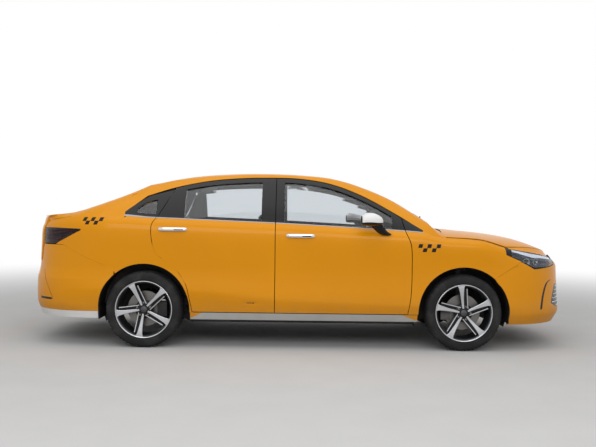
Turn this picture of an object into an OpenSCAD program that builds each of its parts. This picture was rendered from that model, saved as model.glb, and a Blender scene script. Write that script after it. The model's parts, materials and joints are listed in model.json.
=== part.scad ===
// Four-door saloon taxi. X forward, Y to the left, Z up, ground at zero, middle of the length at zero.

/* [Overall] */
// Distance between the axles, mm
wheelbase = 2670; // [2550:10:2800]
// Front axle to the nose, mm
front_overhang = 965; // [935:5:995]
// Rear axle to the tail, mm
rear_overhang = 1060; // [1030:5:1090]
// Width over the door skins, mm
body_w = 1810; // [1780:5:1840]
// Height of the roof, mm
roof_h = 1485; // [1460:5:1520]

/* [Wheels] */
// Outside diameter of the tyres, mm
tyre_d = 637; // [620:1:650]
// Width of the tyres, mm
tyre_w = 205; // [185:5:215]
// Diameter of the rim over its flanges, mm
rim_d = 476; // [440:2:490]
// Distance between the wheel centre planes, mm
track = 1560; // [1540:5:1570]
// Radius of the wheel arches, mm
arch_r = 383; // [375:1:395]
// Diameter of the brake discs, mm
disc_d = 300; // [270:5:320]
// Number of spokes
spokes = 5; // [4:1:6]

/* [Panels] */
// Gap round doors and lids, mm
gap = 8; // [7:0.5:9]
// Thickness of a door below the belt, mm
door_t = 108; // [100:2:114]
// Thickness of the frame round a door window, mm
frame_t = 42; // [36:1:48]
// Step of a door edge from skin to inner face, mm
door_step = 30; // [26:1:36]
// Height of the lower door edges, mm
door_z = 306; // [298:1:314]
// Height of the sill trim's lower edge, mm
sill_z = 240; // [230:1:250]
// Thickness of the thin wings, mm
wing_t = 4; // [3:0.5:5]
// Thickness of the glass, mm
glass_t = 5; // [4:0.5:6]
// Thickness of the lids at the edge, mm
lid_t = 22; // [18:1:26]
// Width of the roof rails, mm
rail_w = 58; // [52:1:64]
// Thickness of the bumper covers, mm
bumper_t = 36; // [30:1:42]

/* [Hinges] */
// Hinge pin diameter, mm
pin_d = 11; // [9:0.5:12]
// Depth of the door hinge axis below the skin, mm
hinge_in = 25; // [24:0.5:27]
// Door hinge axis behind the edge, mm
hinge_back = 45; // [42:1:50]
// Height of the lower door hinges, mm
hinge_low = 470; // [450:5:490]
// Height of the upper door hinges, mm
hinge_high = 800; // [780:5:820]

/* [Hidden] */
$fa = 6;
$fs = 2;
// Facets of rounded ends that are blended by a hull
blend_fn = 20;
seat_gap = 0.2;
half = body_w / 2;
span = wheelbase + front_overhang + rear_overhang;
x_fa = span / 2 - front_overhang;
x_ra = x_fa - wheelbase;
axle_z = tyre_d / 2;
tread_y = track / 2;
drawn_roof = 1485;
lift_from = 1000;
front_bend = 100;
rear_bend = 200;

// Stations: 0 rear axle, 100 front axle, minus 100 tail, 200 nose.
function st(s) = s < 0 ? x_ra + s / 100 * rear_overhang : s > 100 ? x_fa + (s - 100) / 100 * front_overhang
  : x_ra + s / 100 * wheelbase;
function stn(x) = x < x_ra ? 100 * (x - x_ra) / rear_overhang
  : x > x_fa ? 100 + 100 * (x - x_fa) / front_overhang
  : 100 * (x - x_ra) / wheelbase;
function lift(z) = z + (roof_h - drawn_roof) * max(0, min(1, (z - lift_from) / (drawn_roof - lift_from)));
function mix(a, b, u) = a + (b - a) * u;
function ease(a, b, x) = let(u = max(0, min(1, (x - a) / (b - a)))) u * u * (3 - 2 * u);
function seg(t, x, i = 0) = i >= len(t) - 2 || x < t[i + 1][0] ? i : seg(t, x, i + 1);
// Smooth curve through the rows of a table, column c over column 0
function curve(t, x0, c = 1) = let(
    x = max(t[0][0], min(t[len(t) - 1][0], x0)), i = seg(t, x), a = t[i], b = t[i + 1], h = b[0] - a[0],
    u = (x - a[0]) / h, m = (b[c] - a[c]) / h,
    ma = i > 0 ? (b[c] - t[i - 1][c]) / (b[0] - t[i - 1][0]) : m,
    mb = i < len(t) - 2 ? (t[i + 2][c] - a[c]) / (t[i + 2][0] - a[0]) : m)
  a[c] * (2 * u * u * u - 3 * u * u + 1) + b[c] * (3 * u * u - 2 * u * u * u)
  + h * ma * (u * u * u - 2 * u * u + u) + h * mb * (u * u * u - u * u);

// Straight lines through the rows of a table
function lines(t, x) = let(i = seg(t, x), a = t[i], b = t[i + 1])
  mix(a[1], b[1], max(0, min(1, (x - a[0]) / (b[0] - a[0]))));

// Roof rail: station, height, inset from the half width
rail = [[-90, 1081, 215], [-83.3, 1087, 205], [-58, 1120, 163], [-45.2, 1167, 180], [-29.2, 1225, 205],
  [-12.5, 1296, 243], [2.1, 1367, 273], [9.6, 1411, 297], [25.1, 1452, 310], [36.3, 1462, 310],
  [47.6, 1455, 310], [58.6, 1429, 305], [67, 1366, 277], [77, 1254, 220], [85.2, 1118, 157], [89.3, 1050, 120]];
// Upper edge of the side windows: station, height
dlo = [[-16.1, 1125], [-0.8, 1255], [8.7, 1338], [19.6, 1399], [29.6, 1425], [38.1, 1432], [48.5, 1426],
  [58.6, 1381], [68.7, 1278], [78.8, 1130], [87.3, 992]];
// Waist, where the lower side ends: station, height
waist = [[-100, 1030], [-83.3, 1050], [-58, 1085], [-31.1, 1098], [-11.7, 1096], [39.8, 1052], [51.9, 1038],
  [77.4, 1004], [87.3, 985], [89.9, 968], [94.4, 945], [116.1, 922], [136.6, 868], [150.5, 848], [164.5, 830],
  [180.6, 806], [189, 785], [200, 752]];
// Middle line of the top from tail to nose: station, height
spine = [[-94, 1083], [-83, 1098], [-59.4, 1125], [-45.3, 1170], [-21.7, 1275], [2.6, 1395], [13.9, 1453],
  [25.1, 1478], [36.3, 1485], [47.6, 1478], [58.8, 1450], [67, 1398], [77.5, 1285], [85, 1172], [91.8, 1050],
  [94, 1014], [100, 998], [132.3, 968], [153.8, 935], [167.7, 895], [180.6, 838], [190.9, 775], [196, 752]];
// Side section at a waist of 1045: height, inset at the doors, at the front end, at the tail
section = [[215, 56, 50, 52], [300, 33, 4, 20], [345, 22, 0, 5], [400, 9, 5, 1], [440, 3, 9, 0],
  [480, 6, 11, 0],
  [560, 16, 14, 3], [600, 19, 16, 14], [660, 20, 19, 26], [780, 12, 26, 32], [880, 3, 40, 36], [945, 2, 52, 38],
  [985, 10, 62, 42], [1015, 26, 72, 50], [1045, 58, 88, 66]];

// Plan of the widest line by its own length t: equal to x along the doors, then round the corners.
x_f1 = x_fa + front_bend;
x_r1 = x_ra - rear_bend;
round_f = 2.8;
round_r = 3;
len_f = 1430;
len_r = 1420;
t_nose = x_f1 + len_f;
t_tail = x_r1 - len_r;
function corner(a, b, n, q) = let(s = pow(sin(q), 2 / n), c = pow(cos(q), 2 / n), gx = pow(s, n - 1) / a,
    gy = pow(c, n - 1) / b, g = sqrt(gx * gx + gy * gy)) [a * s, b * c, gx / g, gy / g];
function plan(t) = t > x_f1 ? let(k = corner(span / 2 - x_f1, half, round_f, min(90, 90 * (t - x_f1) / len_f)))
    [x_f1 + k[0], k[1], k[2], k[3]]
  : t < x_r1 ? let(k = corner(x_r1 + span / 2, half, round_r, min(90, 90 * (x_r1 - t) / len_r)))
    [x_r1 - k[0], k[1], -k[2], k[3]] : [t, half, 0, 1];
// Length along the plan that gives the position x
function t_of(x) = x > x_f1 ? x_f1 + len_f / 90 * asin(pow(min(1, (x - x_f1) / (span / 2 - x_f1)), round_f / 2))
  : x < x_r1 ? x_r1 - len_r / 90 * asin(pow(min(1, (x_r1 - x) / (x_r1 + span / 2)), round_r / 2)) : x;
// Crease low on the doors: station, height
crease = [[5, 486], [20, 470], [41, 416], [70, 386], [85, 376]];
section_low = 215;
section_mid = 700;
section_top = 1045;
section_crease = 440;
// Height in the section table of a height z on the doors
function door_row(z, c) = z < c ? mix(section_low, section_crease, (z - section_low) / (c - section_low))
  : mix(section_crease, section_mid, (z - c) / (section_mid - c));
function inset(x, z) = let(s = stn(x), w = curve(waist, s),
    zz = z < section_mid ? z : mix(section_mid, section_top, (z - section_mid) / (w - section_mid)),
    zd = z < section_mid ? door_row(z, curve(crease, s)) : zz, f = ease(105, 165, s), r = ease(-25, -75, s))
  mix(mix(curve(section, zd, 1), curve(section, zz, 2), f), curve(section, zz, 3), r);
bow = 10;
bow_half = 1500;
// Point of the side at t and height z, a depth d inside the skin
function low_side(t, z, d) = let(p = plan(t), n = inset(p[0], z) + bow * pow(p[0] * p[3] / bow_half, 2) + d)
  [p[0] - p[2] * n, p[1] - p[3] * n, z];
function side(t, z, d = 0) = let(w = curve(waist, stn(plan(t)[0])))
  z <= w + 0.01 ? low_side(t, z, d) : let(p = plan(t), a = low_side(t, w, d), s = stn(p[0]),
    zr = lift(curve(rail, s)), yr = half - curve(rail, s, 2) - d, f = min(1, (z - w) / max(1, zr - w)))
  [a[0], mix(a[1], min(a[1], yr), 0.7 * f + 0.3 * f * f * f), z];
// Edge of the top at x: half width and height
function edge(x) = let(s = stn(x)) s < 89.3 ? [half - curve(rail, s, 2), lift(curve(rail, s))]
  : let(e = low_side(t_of(x), curve(waist, s), 0)) [e[1], e[2]];
function top_z(x, y) = let(e = edge(x), c = lift(curve(spine, stn(x))), u = min(1, abs(y) / e[0]))
  c + (e[1] - c) * (0.45 * u * u + 0.55 * pow(u, 6));

// Closed slab between two grids of points with equal rows and columns
function quad(a, b, c, d) = [[a, c, b], [a, d, c]];
module slab(outer, inner) {
  r = len(outer);
  c = len(outer[0]);
  n = r * c;
  polyhedron(points = concat([for (q = outer) each q], [for (q = inner) each q]), faces = [
    for (i = [0:r - 2], j = [0:c - 2])
      each quad(i * c + j, (i + 1) * c + j, (i + 1) * c + j + 1, i * c + j + 1),
    for (i = [0:r - 2], j = [0:c - 2])
      each quad(n + i * c + j, n + i * c + j + 1, n + (i + 1) * c + j + 1, n + (i + 1) * c + j),
    for (j = [0:c - 2]) each quad(j, j + 1, n + j + 1, n + j),
    for (j = [0:c - 2]) each quad(n - c + j, 2 * n - c + j, 2 * n - c + j + 1, n - c + j + 1),
    for (i = [0:r - 2]) each quad(i * c, n + i * c, n + (i + 1) * c, (i + 1) * c),
    for (i = [0:r - 2])
      each quad(i * c + c - 1, (i + 1) * c + c - 1, n + (i + 1) * c + c - 1, n + i * c + c - 1)],
    convexity = 6);
}
module both() {
  children();
  mirror([0, 1, 0]) children();
}
module block(x0, x1, y0, y1, z0, z1) translate([x0, y0, z0]) cube([x1 - x0, y1 - y0, z1 - z0]);
// Plate with a side-view outline, from y0 to y1
module side_cut(outline, y0, y1)
  translate([0, y1, 0]) rotate([90, 0, 0]) linear_extrude(y1 - y0) polygon(outline);
// Cut through one whole side of the body
cut_in = 200;
cut_out = half + 50;
module through_side(outline) side_cut(outline, cut_in, cut_out);
module y_bar(x, z, y0, y1, d, fn = 0)
  translate([x, y1, z]) rotate([90, 0, 0]) cylinder(d = d, h = y1 - y0, $fn = fn);

// Doors: edges as tables of height and station
front_lead = [[300, 82.2], [480, 83.2], [700, 83.4], [880, 83], [985, 81.5], [1110, 80.2]];
rear_trail = [[300, 15.3], [420, 14.4], [520, 13.5], [600, 11.8], [680, 9.4], [730, 6.8], [765, 4.8],
  [800, 3.6],
  [900, 2.6], [1000, 2.3], [1050, 2.8], [1094, 4], [1150, 5.2], [1250, 7.2], [1340, 9]];
post_s = 41;
x_b = st(post_s);
function dlo_z(x) = lift(curve(dlo, stn(x)));
function belt_z(x) = curve(waist, stn(x));
function lead_x(k, z) = k == 0 ? st(curve(front_lead, z)) : x_b - gap;
function trail_x(k, z) = k == 0 ? x_b : st(curve(rear_trail, z));
lead_top = [lift(1105), dlo_z(x_b - gap)];
trail_top = [dlo_z(x_b), lift(1340)];
function door_depth(x, z) = mix(door_t, frame_t, ease(-110, 15, z - belt_z(x)));
// Height at v: 0 to 1 from zb to the belt, 1 to 2 from the belt to zt
function rise(v, zb, zm, zt) = v <= 1 ? mix(zb, zm, v) : mix(zm, zt, v - 1);
function door_pt(k, u, v, in) = let(g = in ? door_step : 0, ta = trail_top[k], tb = lead_top[k],
    za = rise(v, door_z, belt_z(trail_x(k, 1050)), ta), zb = rise(v, door_z, belt_z(lead_x(k, 1000)), tb),
    x = mix(trail_x(k, za) + g, lead_x(k, zb) - g, u),
    z = rise(v, door_z + g * 0.6, belt_z(x), dlo_z(x) - g * 0.5)) side(x, z, in ? door_depth(x, z) : 0);
door_u = 12;
door_v = [0, 0.06, 0.13, 0.18, 0.28, 0.42, 0.58, 0.74, 0.86, 0.93, 1, 1.25, 1.6, 2];
function door_grid(k, in) = [for (v = door_v) [for (j = [0:door_u]) door_pt(k, j / door_u, v, in)]];
// Outline grown by g, each corner mitred
function unit(v) = v / norm(v);
function away(a, b) = let(d = unit(b - a)) [d[1], -d[0]];
function grow(q, g) = [for (i = [0:len(q) - 1]) let(n1 = away(q[(i + len(q) - 1) % len(q)], q[i]),
  n2 = away(q[i], q[(i + 1) % len(q)])) q[i] + g * (n1 + n2) / (1 + n1 * n2)];
function xz(p) = [p[0], p[2]];
function door_line(k, g) = grow(concat([for (u = steps(door_u)) xz(door_pt(k, u, 0, false))],
  [for (i = [1:len(door_v) - 2]) xz(door_pt(k, 1, door_v[i], false))],
  [for (u = steps(door_u)) xz(door_pt(k, 1 - u, 2, false))],
  [for (i = [len(door_v) - 2:-1:1]) xz(door_pt(k, 0, door_v[i], false))]), g);
pane_s = [[43.6, 77.4], [12.2, 36.4]];
pane_up = 10;
pane_top = 36;
function pane_z(x, b) = b ? belt_z(x) + pane_up : dlo_z(x) - pane_top;
function pane_line(k, g) = let(a = st(pane_s[k][0]) - g, b = st(pane_s[k][1]) + g) concat(
  [for (j = [0:6]) let(x = mix(a, b, j / 6)) [x, pane_z(x, true) - g]],
  [for (j = [0:9]) let(x = mix(b, a, j / 9)) [x, pane_z(x, false) + g]]);
function hinge_x(k) = lead_x(k, 650) - hinge_back;
function hinge_y(k) = low_side(hinge_x(k), 860, 0)[1] - hinge_in;
hinge_zs = [hinge_low, hinge_high];
// Hinge pocket in a door, and the two knuckles in it, one above and one below the body's arm
pocket_h = 90;
knuckle_h = 20;
knuckle_z = 20.5;
knuckle_d = pin_d + 9;
module door(k) {
  hx = hinge_x(k);
  hy = hinge_y(k);
  difference() {
    union() {
      difference() {
        slab(door_grid(k, false), door_grid(k, true));
        through_side(pane_line(k, 0));
        for (z = hinge_zs) block(hx - 22, hx + 80, hy - 200, hy + pin_d, z - pocket_h / 2, z + pocket_h / 2);
      }
      for (z = hinge_zs, s = [-1, 1]) translate([hx, hy, z + s * knuckle_z - knuckle_h / 2]) hull() {
        cylinder(d = knuckle_d, h = knuckle_h, $fn = blend_fn);
        block(-24, -23, -knuckle_d / 2, knuckle_d / 2, 0, knuckle_h);
      }
    }
    for (z = hinge_zs)
      translate([hx, hy, z - pocket_h / 2 + 5]) cylinder(d = pin_d + 2 * seat_gap, h = pocket_h - 10);
  }
}
pane_in = 9;
pane_fit = 1;
pane_cols = 8;
function pane_pt(k, u, v, d) = let(x = mix(st(pane_s[k][0]) + pane_fit, st(pane_s[k][1]) - pane_fit, u),
    z = mix(pane_z(x, true) + pane_fit, pane_z(x, false) - pane_fit, v)) side(x, z, d);
function pane_grid(k, d) = [for (v = [0, 0.3, 0.65, 1]) [for (u = steps(pane_cols)) pane_pt(k, u, v, d)]];
module pane(k) slab(pane_grid(k, pane_in), pane_grid(k, pane_in + glass_t));
handle_l = 224;
handle_h = 22;
handle_x = [x_b + 206, st(9)];
handle_z = [948, 990];
module handle(k) {
  x = handle_x[k];
  z = handle_z[k];
  y = max(low_side(x, z - handle_h / 2, 0)[1], low_side(x, z + handle_h / 2, 0)[1]);
  hull() for (s = [-1, 1]) translate([x + s * handle_l / 2, y + 18, z]) rotate([0, 90, 0]) scale([1.2, 0.6, 1])
    cylinder(d = handle_h, h = 8, $fn = 16);
  for (s = [-1, 1]) translate([x + s * (handle_l / 2 - 12), y, z]) hull() {
    translate([0, 16, 0]) cube([22, 6, handle_h - 4], center = true);
    translate([0, 1.5 + seat_gap, 0]) cube([26, 3, handle_h], center = true);
  }
}

// Side frame: roof rail, front and rear pillars and rear quarter in one
frame_v = [0, 0.12, 0.24, 0.36, 0.48, 0.66, 0.84, 0.93, 1, 1.4, 2];
quarter_x = st(-84);
pillar_x = st(89);
frame_cols = concat([for (j = [0:5]) mix(t_of(quarter_x), x_r1, j / 6)],
  [for (j = [0:16]) mix(x_r1, pillar_x, j / 16)]);
frame_d = 52;
quarter_z = 250;
// Broken edge between the side and the top of the rail
rail_edge = 22;
function rail_pt(x, in, drop) = let(y = edge(x)[0] - in) [x, y, top_z(x, y) - drop];
function frame_x(t) = side(t, belt_z(plan(t)[0]), 0)[0];
function frame_grid(d) = concat(
  [for (v = frame_v) [for (t = frame_cols) let(x = plan(t)[0])
    side(t, rise(v, quarter_z, belt_z(x), lift(curve(rail, stn(x))) - (d > 0 ? 6 : rail_edge)), d)]],
  [[for (t = frame_cols) rail_pt(frame_x(t), d > 0 ? frame_d + 3 : rail_edge, d > 0 ? 20 : 0)]],
  [[for (t = frame_cols) rail_pt(frame_x(t), rail_w, d > 0 ? 28 : 0)]]);
// Rear bumper's upper edge and the tail lamp's edges: station, height
bumper_line_r = [[-66, 850], [-47, 752], [-24, 652]];
lamp_tip_s = -51;
lamp_low_s = -73.5;
lamp_low_z = 856;
lamp_tip_z = 980;
lamp_high_z = 990;
// Front bumper's upper edge at the wing and the headlamp's edges
bumper_line_f = [[127, 612], [150.5, 752]];
head_tip_s = 136.6;
head_tip_z = 842;
fit = 1;
module side_frame() difference() {
  x_tip = side(t_of(st(lamp_tip_s)), lamp_tip_z, lamp_edge_d)[0] + 2 * fit;
  sill_from = st(13.2);
  slab(frame_grid(0), frame_grid(frame_d));
  for (k = [0, 1]) through_side(door_line(k, gap));
  through_side([[sill_from, 0], [pillar_x + 200, 0], for (s = [92:-0.5:81]) [st(s), belt_z(st(s)) + fit / 2],
    [st(80), door_z], [sill_from, door_z]]);
  through_side([[x_b - 2 * gap, 400], [x_b + 2 * gap, 400], [x_b + 2 * gap, dlo_z(x_b) + gap],
    [x_b - 2 * gap, dlo_z(x_b) + gap]]);
  y_bar(x_ra, axle_z, cut_in, cut_out, 2 * arch_r);
  through_side([[-span, 0], [-span, bumper_line_r[0][1]], for (q = bumper_line_r) [st(q[0]), q[1]], [x_ra, 0]]);
  through_side([[x_tip, lamp_tip_z + 4.3], [x_tip, lamp_tip_z - 6], [st(lamp_low_s), lamp_low_z - gap],
    [-span, lamp_low_z - gap], [-span, lamp_high_z + 0.3], [st(lamp_low_s), lamp_high_z + 0.3],
    [st(lamp_tip_s), lamp_tip_z + 4.3]]);
  through_side(quarter_line(fit));
}
// Quarter window: station, lower edge above the belt, upper edge below the window line
quarter_s = [[-7, 36, 46], [-3.5, 34, 45], [0, 33, 45], [3.4, 33, 50]];
function quarter_low(q) = [st(q[0]), belt_z(st(q[0])) + q[1]];
function quarter_high(q) = [st(q[0]), dlo_z(st(q[0])) - q[2]];
function quarter_line(g) = grow(concat([for (q = quarter_s) quarter_low(q)],
  [for (i = [len(quarter_s) - 1:-1:0]) quarter_high(quarter_s[i])]), g);
quarter_in = 8;
function quarter_pt(q, v, d) = let(a = quarter_low(q), b = quarter_high(q)) side(a[0], mix(a[1], b[1], v), d);
function quarter_grid(d) = [for (v = [0, 1]) [for (q = quarter_s) quarter_pt(q, v, d)]];
module quarter_pane() slab(quarter_grid(quarter_in), quarter_grid(quarter_in + glass_t));

// Top panels: u runs along the car, w across it from minus one to one
function top_grid(us, ws, xy, drop) = [for (u = us) [for (w = ws) let(q = xy(u, w))
  [q[0], q[1], top_z(q[0], q[1]) - drop]]];
function steps(n) = [for (i = [0:n]) i / n];
function wide(n) = [for (i = [0:n]) 2 * i / n - 1];
function rail_y(x) = edge(x)[0] - rail_w - fit;
head_x = st(58.8);
tail_head_x = st(12.4);
screen_x = st(90.3);
back_x = st(-52);
screen_bow = 75;
glass_gap = 3;
roof_t = 26;
screen_in = 2;
module roof() {
  xy = function(u, w) let(x = mix(tail_head_x + seat_gap, head_x - seat_gap, u)) [x, w * rail_y(x)];
  slab(top_grid(steps(9), wide(10), xy, 0), top_grid(steps(9), wide(10), xy, roof_t));
}
module screen() {
  xy = function(u, w) let(x = mix(head_x, screen_x, u) - screen_bow * u * w * w)
    [x, w * (rail_y(x) - glass_gap)];
  slab(top_grid(steps(8), wide(10), xy, screen_in), top_grid(steps(8), wide(10), xy, screen_in + glass_t));
}
module back_glass() {
  xy = function(u, w) let(x = mix(back_x, tail_head_x, u)) [x, w * (rail_y(x) - glass_gap)];
  slab(top_grid(steps(8), wide(10), xy, screen_in), top_grid(steps(8), wide(10), xy, screen_in + glass_t));
}
// Bonnet: rear edge under the screen, front edge over lamps and grille
bonnet_rear = st(97.4);
nose_line = [[0, st(190.5)], [0.4, st(188.5)], [0.7, st(181)], [0.86, st(168)], [1, st(136.6)]];
bonnet_in = [82, 112];
function bonnet_xy(u, w) = let(x = mix(bonnet_rear - screen_bow * w * w, curve(nose_line, abs(w)), u),
    e = edge(max(x, st(90)))[0] - gap)
  [x, w * min(e, half - mix(bonnet_in[0], bonnet_in[1], ease(0, 1, u)))];
module bonnet_skin() slab(top_grid(steps(12), wide(16), function(u, w) bonnet_xy(u, w), 0),
  top_grid(steps(12), wide(16), function(u, w) bonnet_xy(mix(0.02, 0.975, u), w * 0.975), lid_t));
// Tail face at a half width y: position along the car
function tail_x(y, z) = x_r1 - (x_r1 + span / 2) * pow(1 - pow(abs(y) / half, round_r), 1 / round_r)
  + inset(-span / 2, z);
lid_x = back_x - 42;
lid_low = 706;
lid_face_top = 1062;
// Half widths of the boot lid: at its rear edge, at the top of its face and at the foot of its face
lid_w = [half - 265, half - 283, half - 325];
// The deck draws in from the rails over its length, the face leans in over its height
function deck_pt(r, w, d) = let(xr = tail_x(w * lid_w[0], 1040), x = mix(lid_x - d * 0.3, xr + d, r),
    y = w * (rail_y(x) - gap - 4 - 22 * ease(0.1, 0.6, r) - d * 0.4))
  [x, y, top_z(max(x, st(-90)), y) - d - 10 * ease(0.9, 1, r)];
function face_pt(v, w, d) = let(y = w * (mix(lid_w[1], lid_w[2], v) - d * 0.4),
    z = mix(lid_face_top, lid_low, v) - (1 - v) * d) [tail_x(y, z) + d, y, z];
function lid_pt(r, w, d) = r <= 1 ? deck_pt(r, w, d) : face_pt(r - 1, w, d);
lid_rows = [0, 0.25, 0.5, 0.75, 0.93, 1, 1.04, 1.2, 1.45, 1.7, 2];
function lid_grid(d) = [for (r = lid_rows) [for (w = wide(12)) lid_pt(r, w, d)]];
module lid_skin() slab(lid_grid(lid_t), lid_grid(0));

// Pieces in the unrolled side: columns along t, rows between two edges given at t and depth d
function edge_z(tab, t, d, z0) = lines(tab, stn(side(t, z0, d)[0]));
function band(ts, vs, zb, zt, d) =
  [for (v = vs) [for (t = ts) side(t, mix(zb(t, d(t)), zt(t, d(t)), v), d(t))]];
module strip(ts, vs, zb, zt, d0, d1) slab(band(ts, vs, zb, zt, d0), band(ts, vs, zb, zt, d1));
function flip_y(q) = [q[0], -q[1], q[2]];
function across(ts, vs, zb, zt, d) = [for (row = band(ts, vs, zb, zt, d))
  concat([for (q = row) flip_y(q)], [for (i = [len(row) - 2:-1:0]) row[i]])];
module front_wrap(ts, vs, zb, zt, d0, d1) slab(across(ts, vs, zb, zt, d1), across(ts, vs, zb, zt, d0));
module rear_wrap(ts, vs, zb, zt, d0, d1) slab(across(ts, vs, zb, zt, d0), across(ts, vs, zb, zt, d1));
function flat(d) = function(t) d;
function level(z) = function(t, d) z;
lamp_in_t = x_r1 - 844;
head_in_t = x_f1 + 915;
// Columns of the bumpers and lamps, by station round the side, then by length to the middle
cols_r = concat([for (q = [-24, -32, -40, -47, -53, -60, -66, -73.5]) t_of(st(q))],
  [for (q = [0.4, 1]) mix(t_of(st(-73.5)), lamp_in_t, q)],
  [lamp_in_t - 60], [for (q = [0.25, 0.5, 0.75, 1]) mix(lamp_in_t - 60, t_tail, q)]);
cols_f = concat([for (q = [127, 133, 139, 145, 150.5, 157, 164.3, 172, 180.5]) t_of(st(q))],
  [mix(t_of(st(180.5)), head_in_t, 0.5), head_in_t, head_in_t + 60],
  [for (q = [0.25, 0.5, 0.75, 1]) mix(head_in_t + 60, t_nose, q)]);
t_cover_r = t_of(st(-66));
t_cover_f = t_of(st(150.5));
bumper_tail = [[t_tail, 697], [lamp_in_t - 60, 698], [lamp_in_t, 846], [t_cover_r, 847]];
bumper_nose = [[t_cover_f, 750], [t_of(st(164.3)), 684], [t_of(st(180.5)), 698], [head_in_t, 715],
  [head_in_t + 60, 738], [t_nose, 744]];
function rear_top(t, d) = t < t_cover_r - 1 ? lines(bumper_tail, t) : edge_z(bumper_line_r, t, d, 700) - fit;
function front_top(t, d) =
  t > t_cover_f + 1 ? lines(bumper_nose, t) : edge_z(bumper_line_f, t, d, 680) - 2 * fit;
valance_z = door_z - gap;
skirt_z = sill_z - 18;
arch_in = 150;
module arches(x) both() y_bar(x, axle_z, arch_in, half + arch_in, 2 * arch_r);

function range(a, b, n) = [for (i = [0:n]) mix(a, b, i / n)];
rows_low = [0, 0.12, 0.25, 0.4, 0.55, 0.7, 0.85, 1];

// Wings: thin skins from the door to the lamp
function wing_pt(u, v, d) = let(t = mix(lead_x(0, mix(door_z, 985, v)) + gap, t_of(st(152)), u))
  side(t, mix(door_z - 4, belt_z(plan(t)[0]), v), d);
wing_v = [0, 0.14, 0.28, 0.42, 0.56, 0.7, 0.82, 0.9, 0.95, 1];
function wing_grid(d) = [for (v = wing_v) [for (u = steps(16)) wing_pt(u, v, d)]];
module wing() difference() {
  x_tip = side(t_of(st(head_tip_s)), head_tip_z, lamp_edge_d)[0] - 2 * fit;
  lamp_cut = bumper_line_f[1][1] - 10;
  slab(wing_grid(0), wing_grid(wing_t));
  y_bar(x_fa, axle_z, cut_in, cut_out, 2 * arch_r);
  through_side([for (q = bumper_line_f) [st(q[0]), q[1]], [span, bumper_line_f[1][1]], [span, 0], [x_fa, 0],
    [x_fa, 500]]);
  through_side([[x_tip, head_tip_z - 36], [st(head_tip_s), head_tip_z - 36], [st(150.5) + 14, lamp_cut],
    [span, lamp_cut], [span, 950], [x_tip, 950]]);
}
// Corner of the wing between the pillar, the cowl and the bonnet, as a top panel: u along the car, w inwards
corner_in = 150;
corner_s = 89.6;
function wing_corner_xy(u, w) = let(x0 = st(corner_s), y0 = edge(x0)[0] - 0.5, y = y0 - w * corner_in,
    x1 = bonnet_rear - screen_bow * pow(min(1, y / (half - bonnet_in[0])), 2) - gap, x = mix(x0, x1, u),
    y_edge = edge(x)[0] - 0.5) [x, y_edge - w * corner_in];
module wing_corner() slab(top_grid(steps(4), range(1, 0, 4), function(u, w) wing_corner_xy(u, w), 0),
  top_grid(steps(4), range(1, 0, 4), function(u, w) wing_corner_xy(u, w), 2 * wing_t));
lamp_d = 62;
lamp_edge_d = 6;
module head_lamp() {
  t_tip = t_of(st(head_tip_s));
  ts = concat([t_tip], [for (t = cols_f) if (t > t_tip + 1 && t <= head_in_t) t]);
  lip = [[head_tip_s, head_tip_z - 32], bumper_line_f[1]];
  low = function(t, d) t < t_cover_f + 1 ? edge_z(lip, t, d, 800) : front_top(t, d) + 2 * fit;
  high = function(t, d) belt_z(plan(t)[0]) - lid_t - gap;
  depth = function(t) lines([[t_tip, lamp_edge_d], [t_of(st(160)), lamp_d]], t);
  strip(ts, steps(4), low, high, flat(0), depth);
}
module tail_lamp() {
  t_tip = t_of(st(lamp_tip_s));
  inner = [for (i = [len(cols_r) - 1:-1:0]) if (cols_r[i] >= lamp_in_t && cols_r[i] < t_tip) cols_r[i]];
  ts = concat([for (t = inner) t == lamp_in_t ? t + gap : t], [t_tip]);
  lip = [[lamp_low_s, lamp_low_z], [lamp_tip_s, lamp_tip_z - 4]];
  brow = [[lamp_low_s, lamp_high_z], [lamp_tip_s, lamp_tip_z + 4]];
  depth = function(t) lines([[t_of(st(lamp_low_s)) - 60, lamp_d], [t_tip, lamp_edge_d]], t);
  strip(ts, steps(4), function(t, d) edge_z(lip, t, d, 900), function(t, d) edge_z(brow, t, d, 985),
    flat(0), depth);
}
grille_y = 470;
grille_low = 340;
grille_high = 585;
grille_in = 10;
grille_t = 16;
module grille_hole(g) translate([span / 2 - 400, 0, 0]) rotate([90, 0, 90]) linear_extrude(500)
  polygon([[-grille_y + 90 - g, grille_low - g], [grille_y - 90 + g, grille_low - g],
    [grille_y + g, grille_high - 90], [grille_y - 40 + g, grille_high + g],
    [-grille_y + 40 - g, grille_high + g], [-grille_y - g, grille_high - 90]]);
module front_cover() difference() {
  front_wrap(cols_f, rows_low, level(skirt_z), function(t, d) front_top(t, d), flat(0), flat(bumper_t));
  arches(x_fa);
  grille_hole(0);
}
module grille_panel() intersection() {
  front_wrap(range(x_f1 + 880, t_nose, 7), steps(4), level(grille_low - 20), level(grille_high + 20),
    flat(grille_in), flat(grille_in + grille_t));
  grille_hole(-seat_gap);
}
module rear_cover() difference() {
  rear_wrap(cols_r, rows_low, level(valance_z + seat_gap), function(t, d) rear_top(t, d), flat(0),
    flat(bumper_t));
  arches(x_ra);
}
trim_gap = 4;
sill_t = 60;
module valance() rear_wrap(range(t_of(x_ra - arch_r - trim_gap), t_tail, 10), steps(2), level(sill_z),
  level(valance_z), flat(0), flat(bumper_t));
module sill() strip(range(x_ra + arch_r + trim_gap, x_fa - arch_r - 1.5 * trim_gap, 8), steps(3), level(sill_z),
  level(door_z - gap), flat(0), flat(sill_t));

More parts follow.
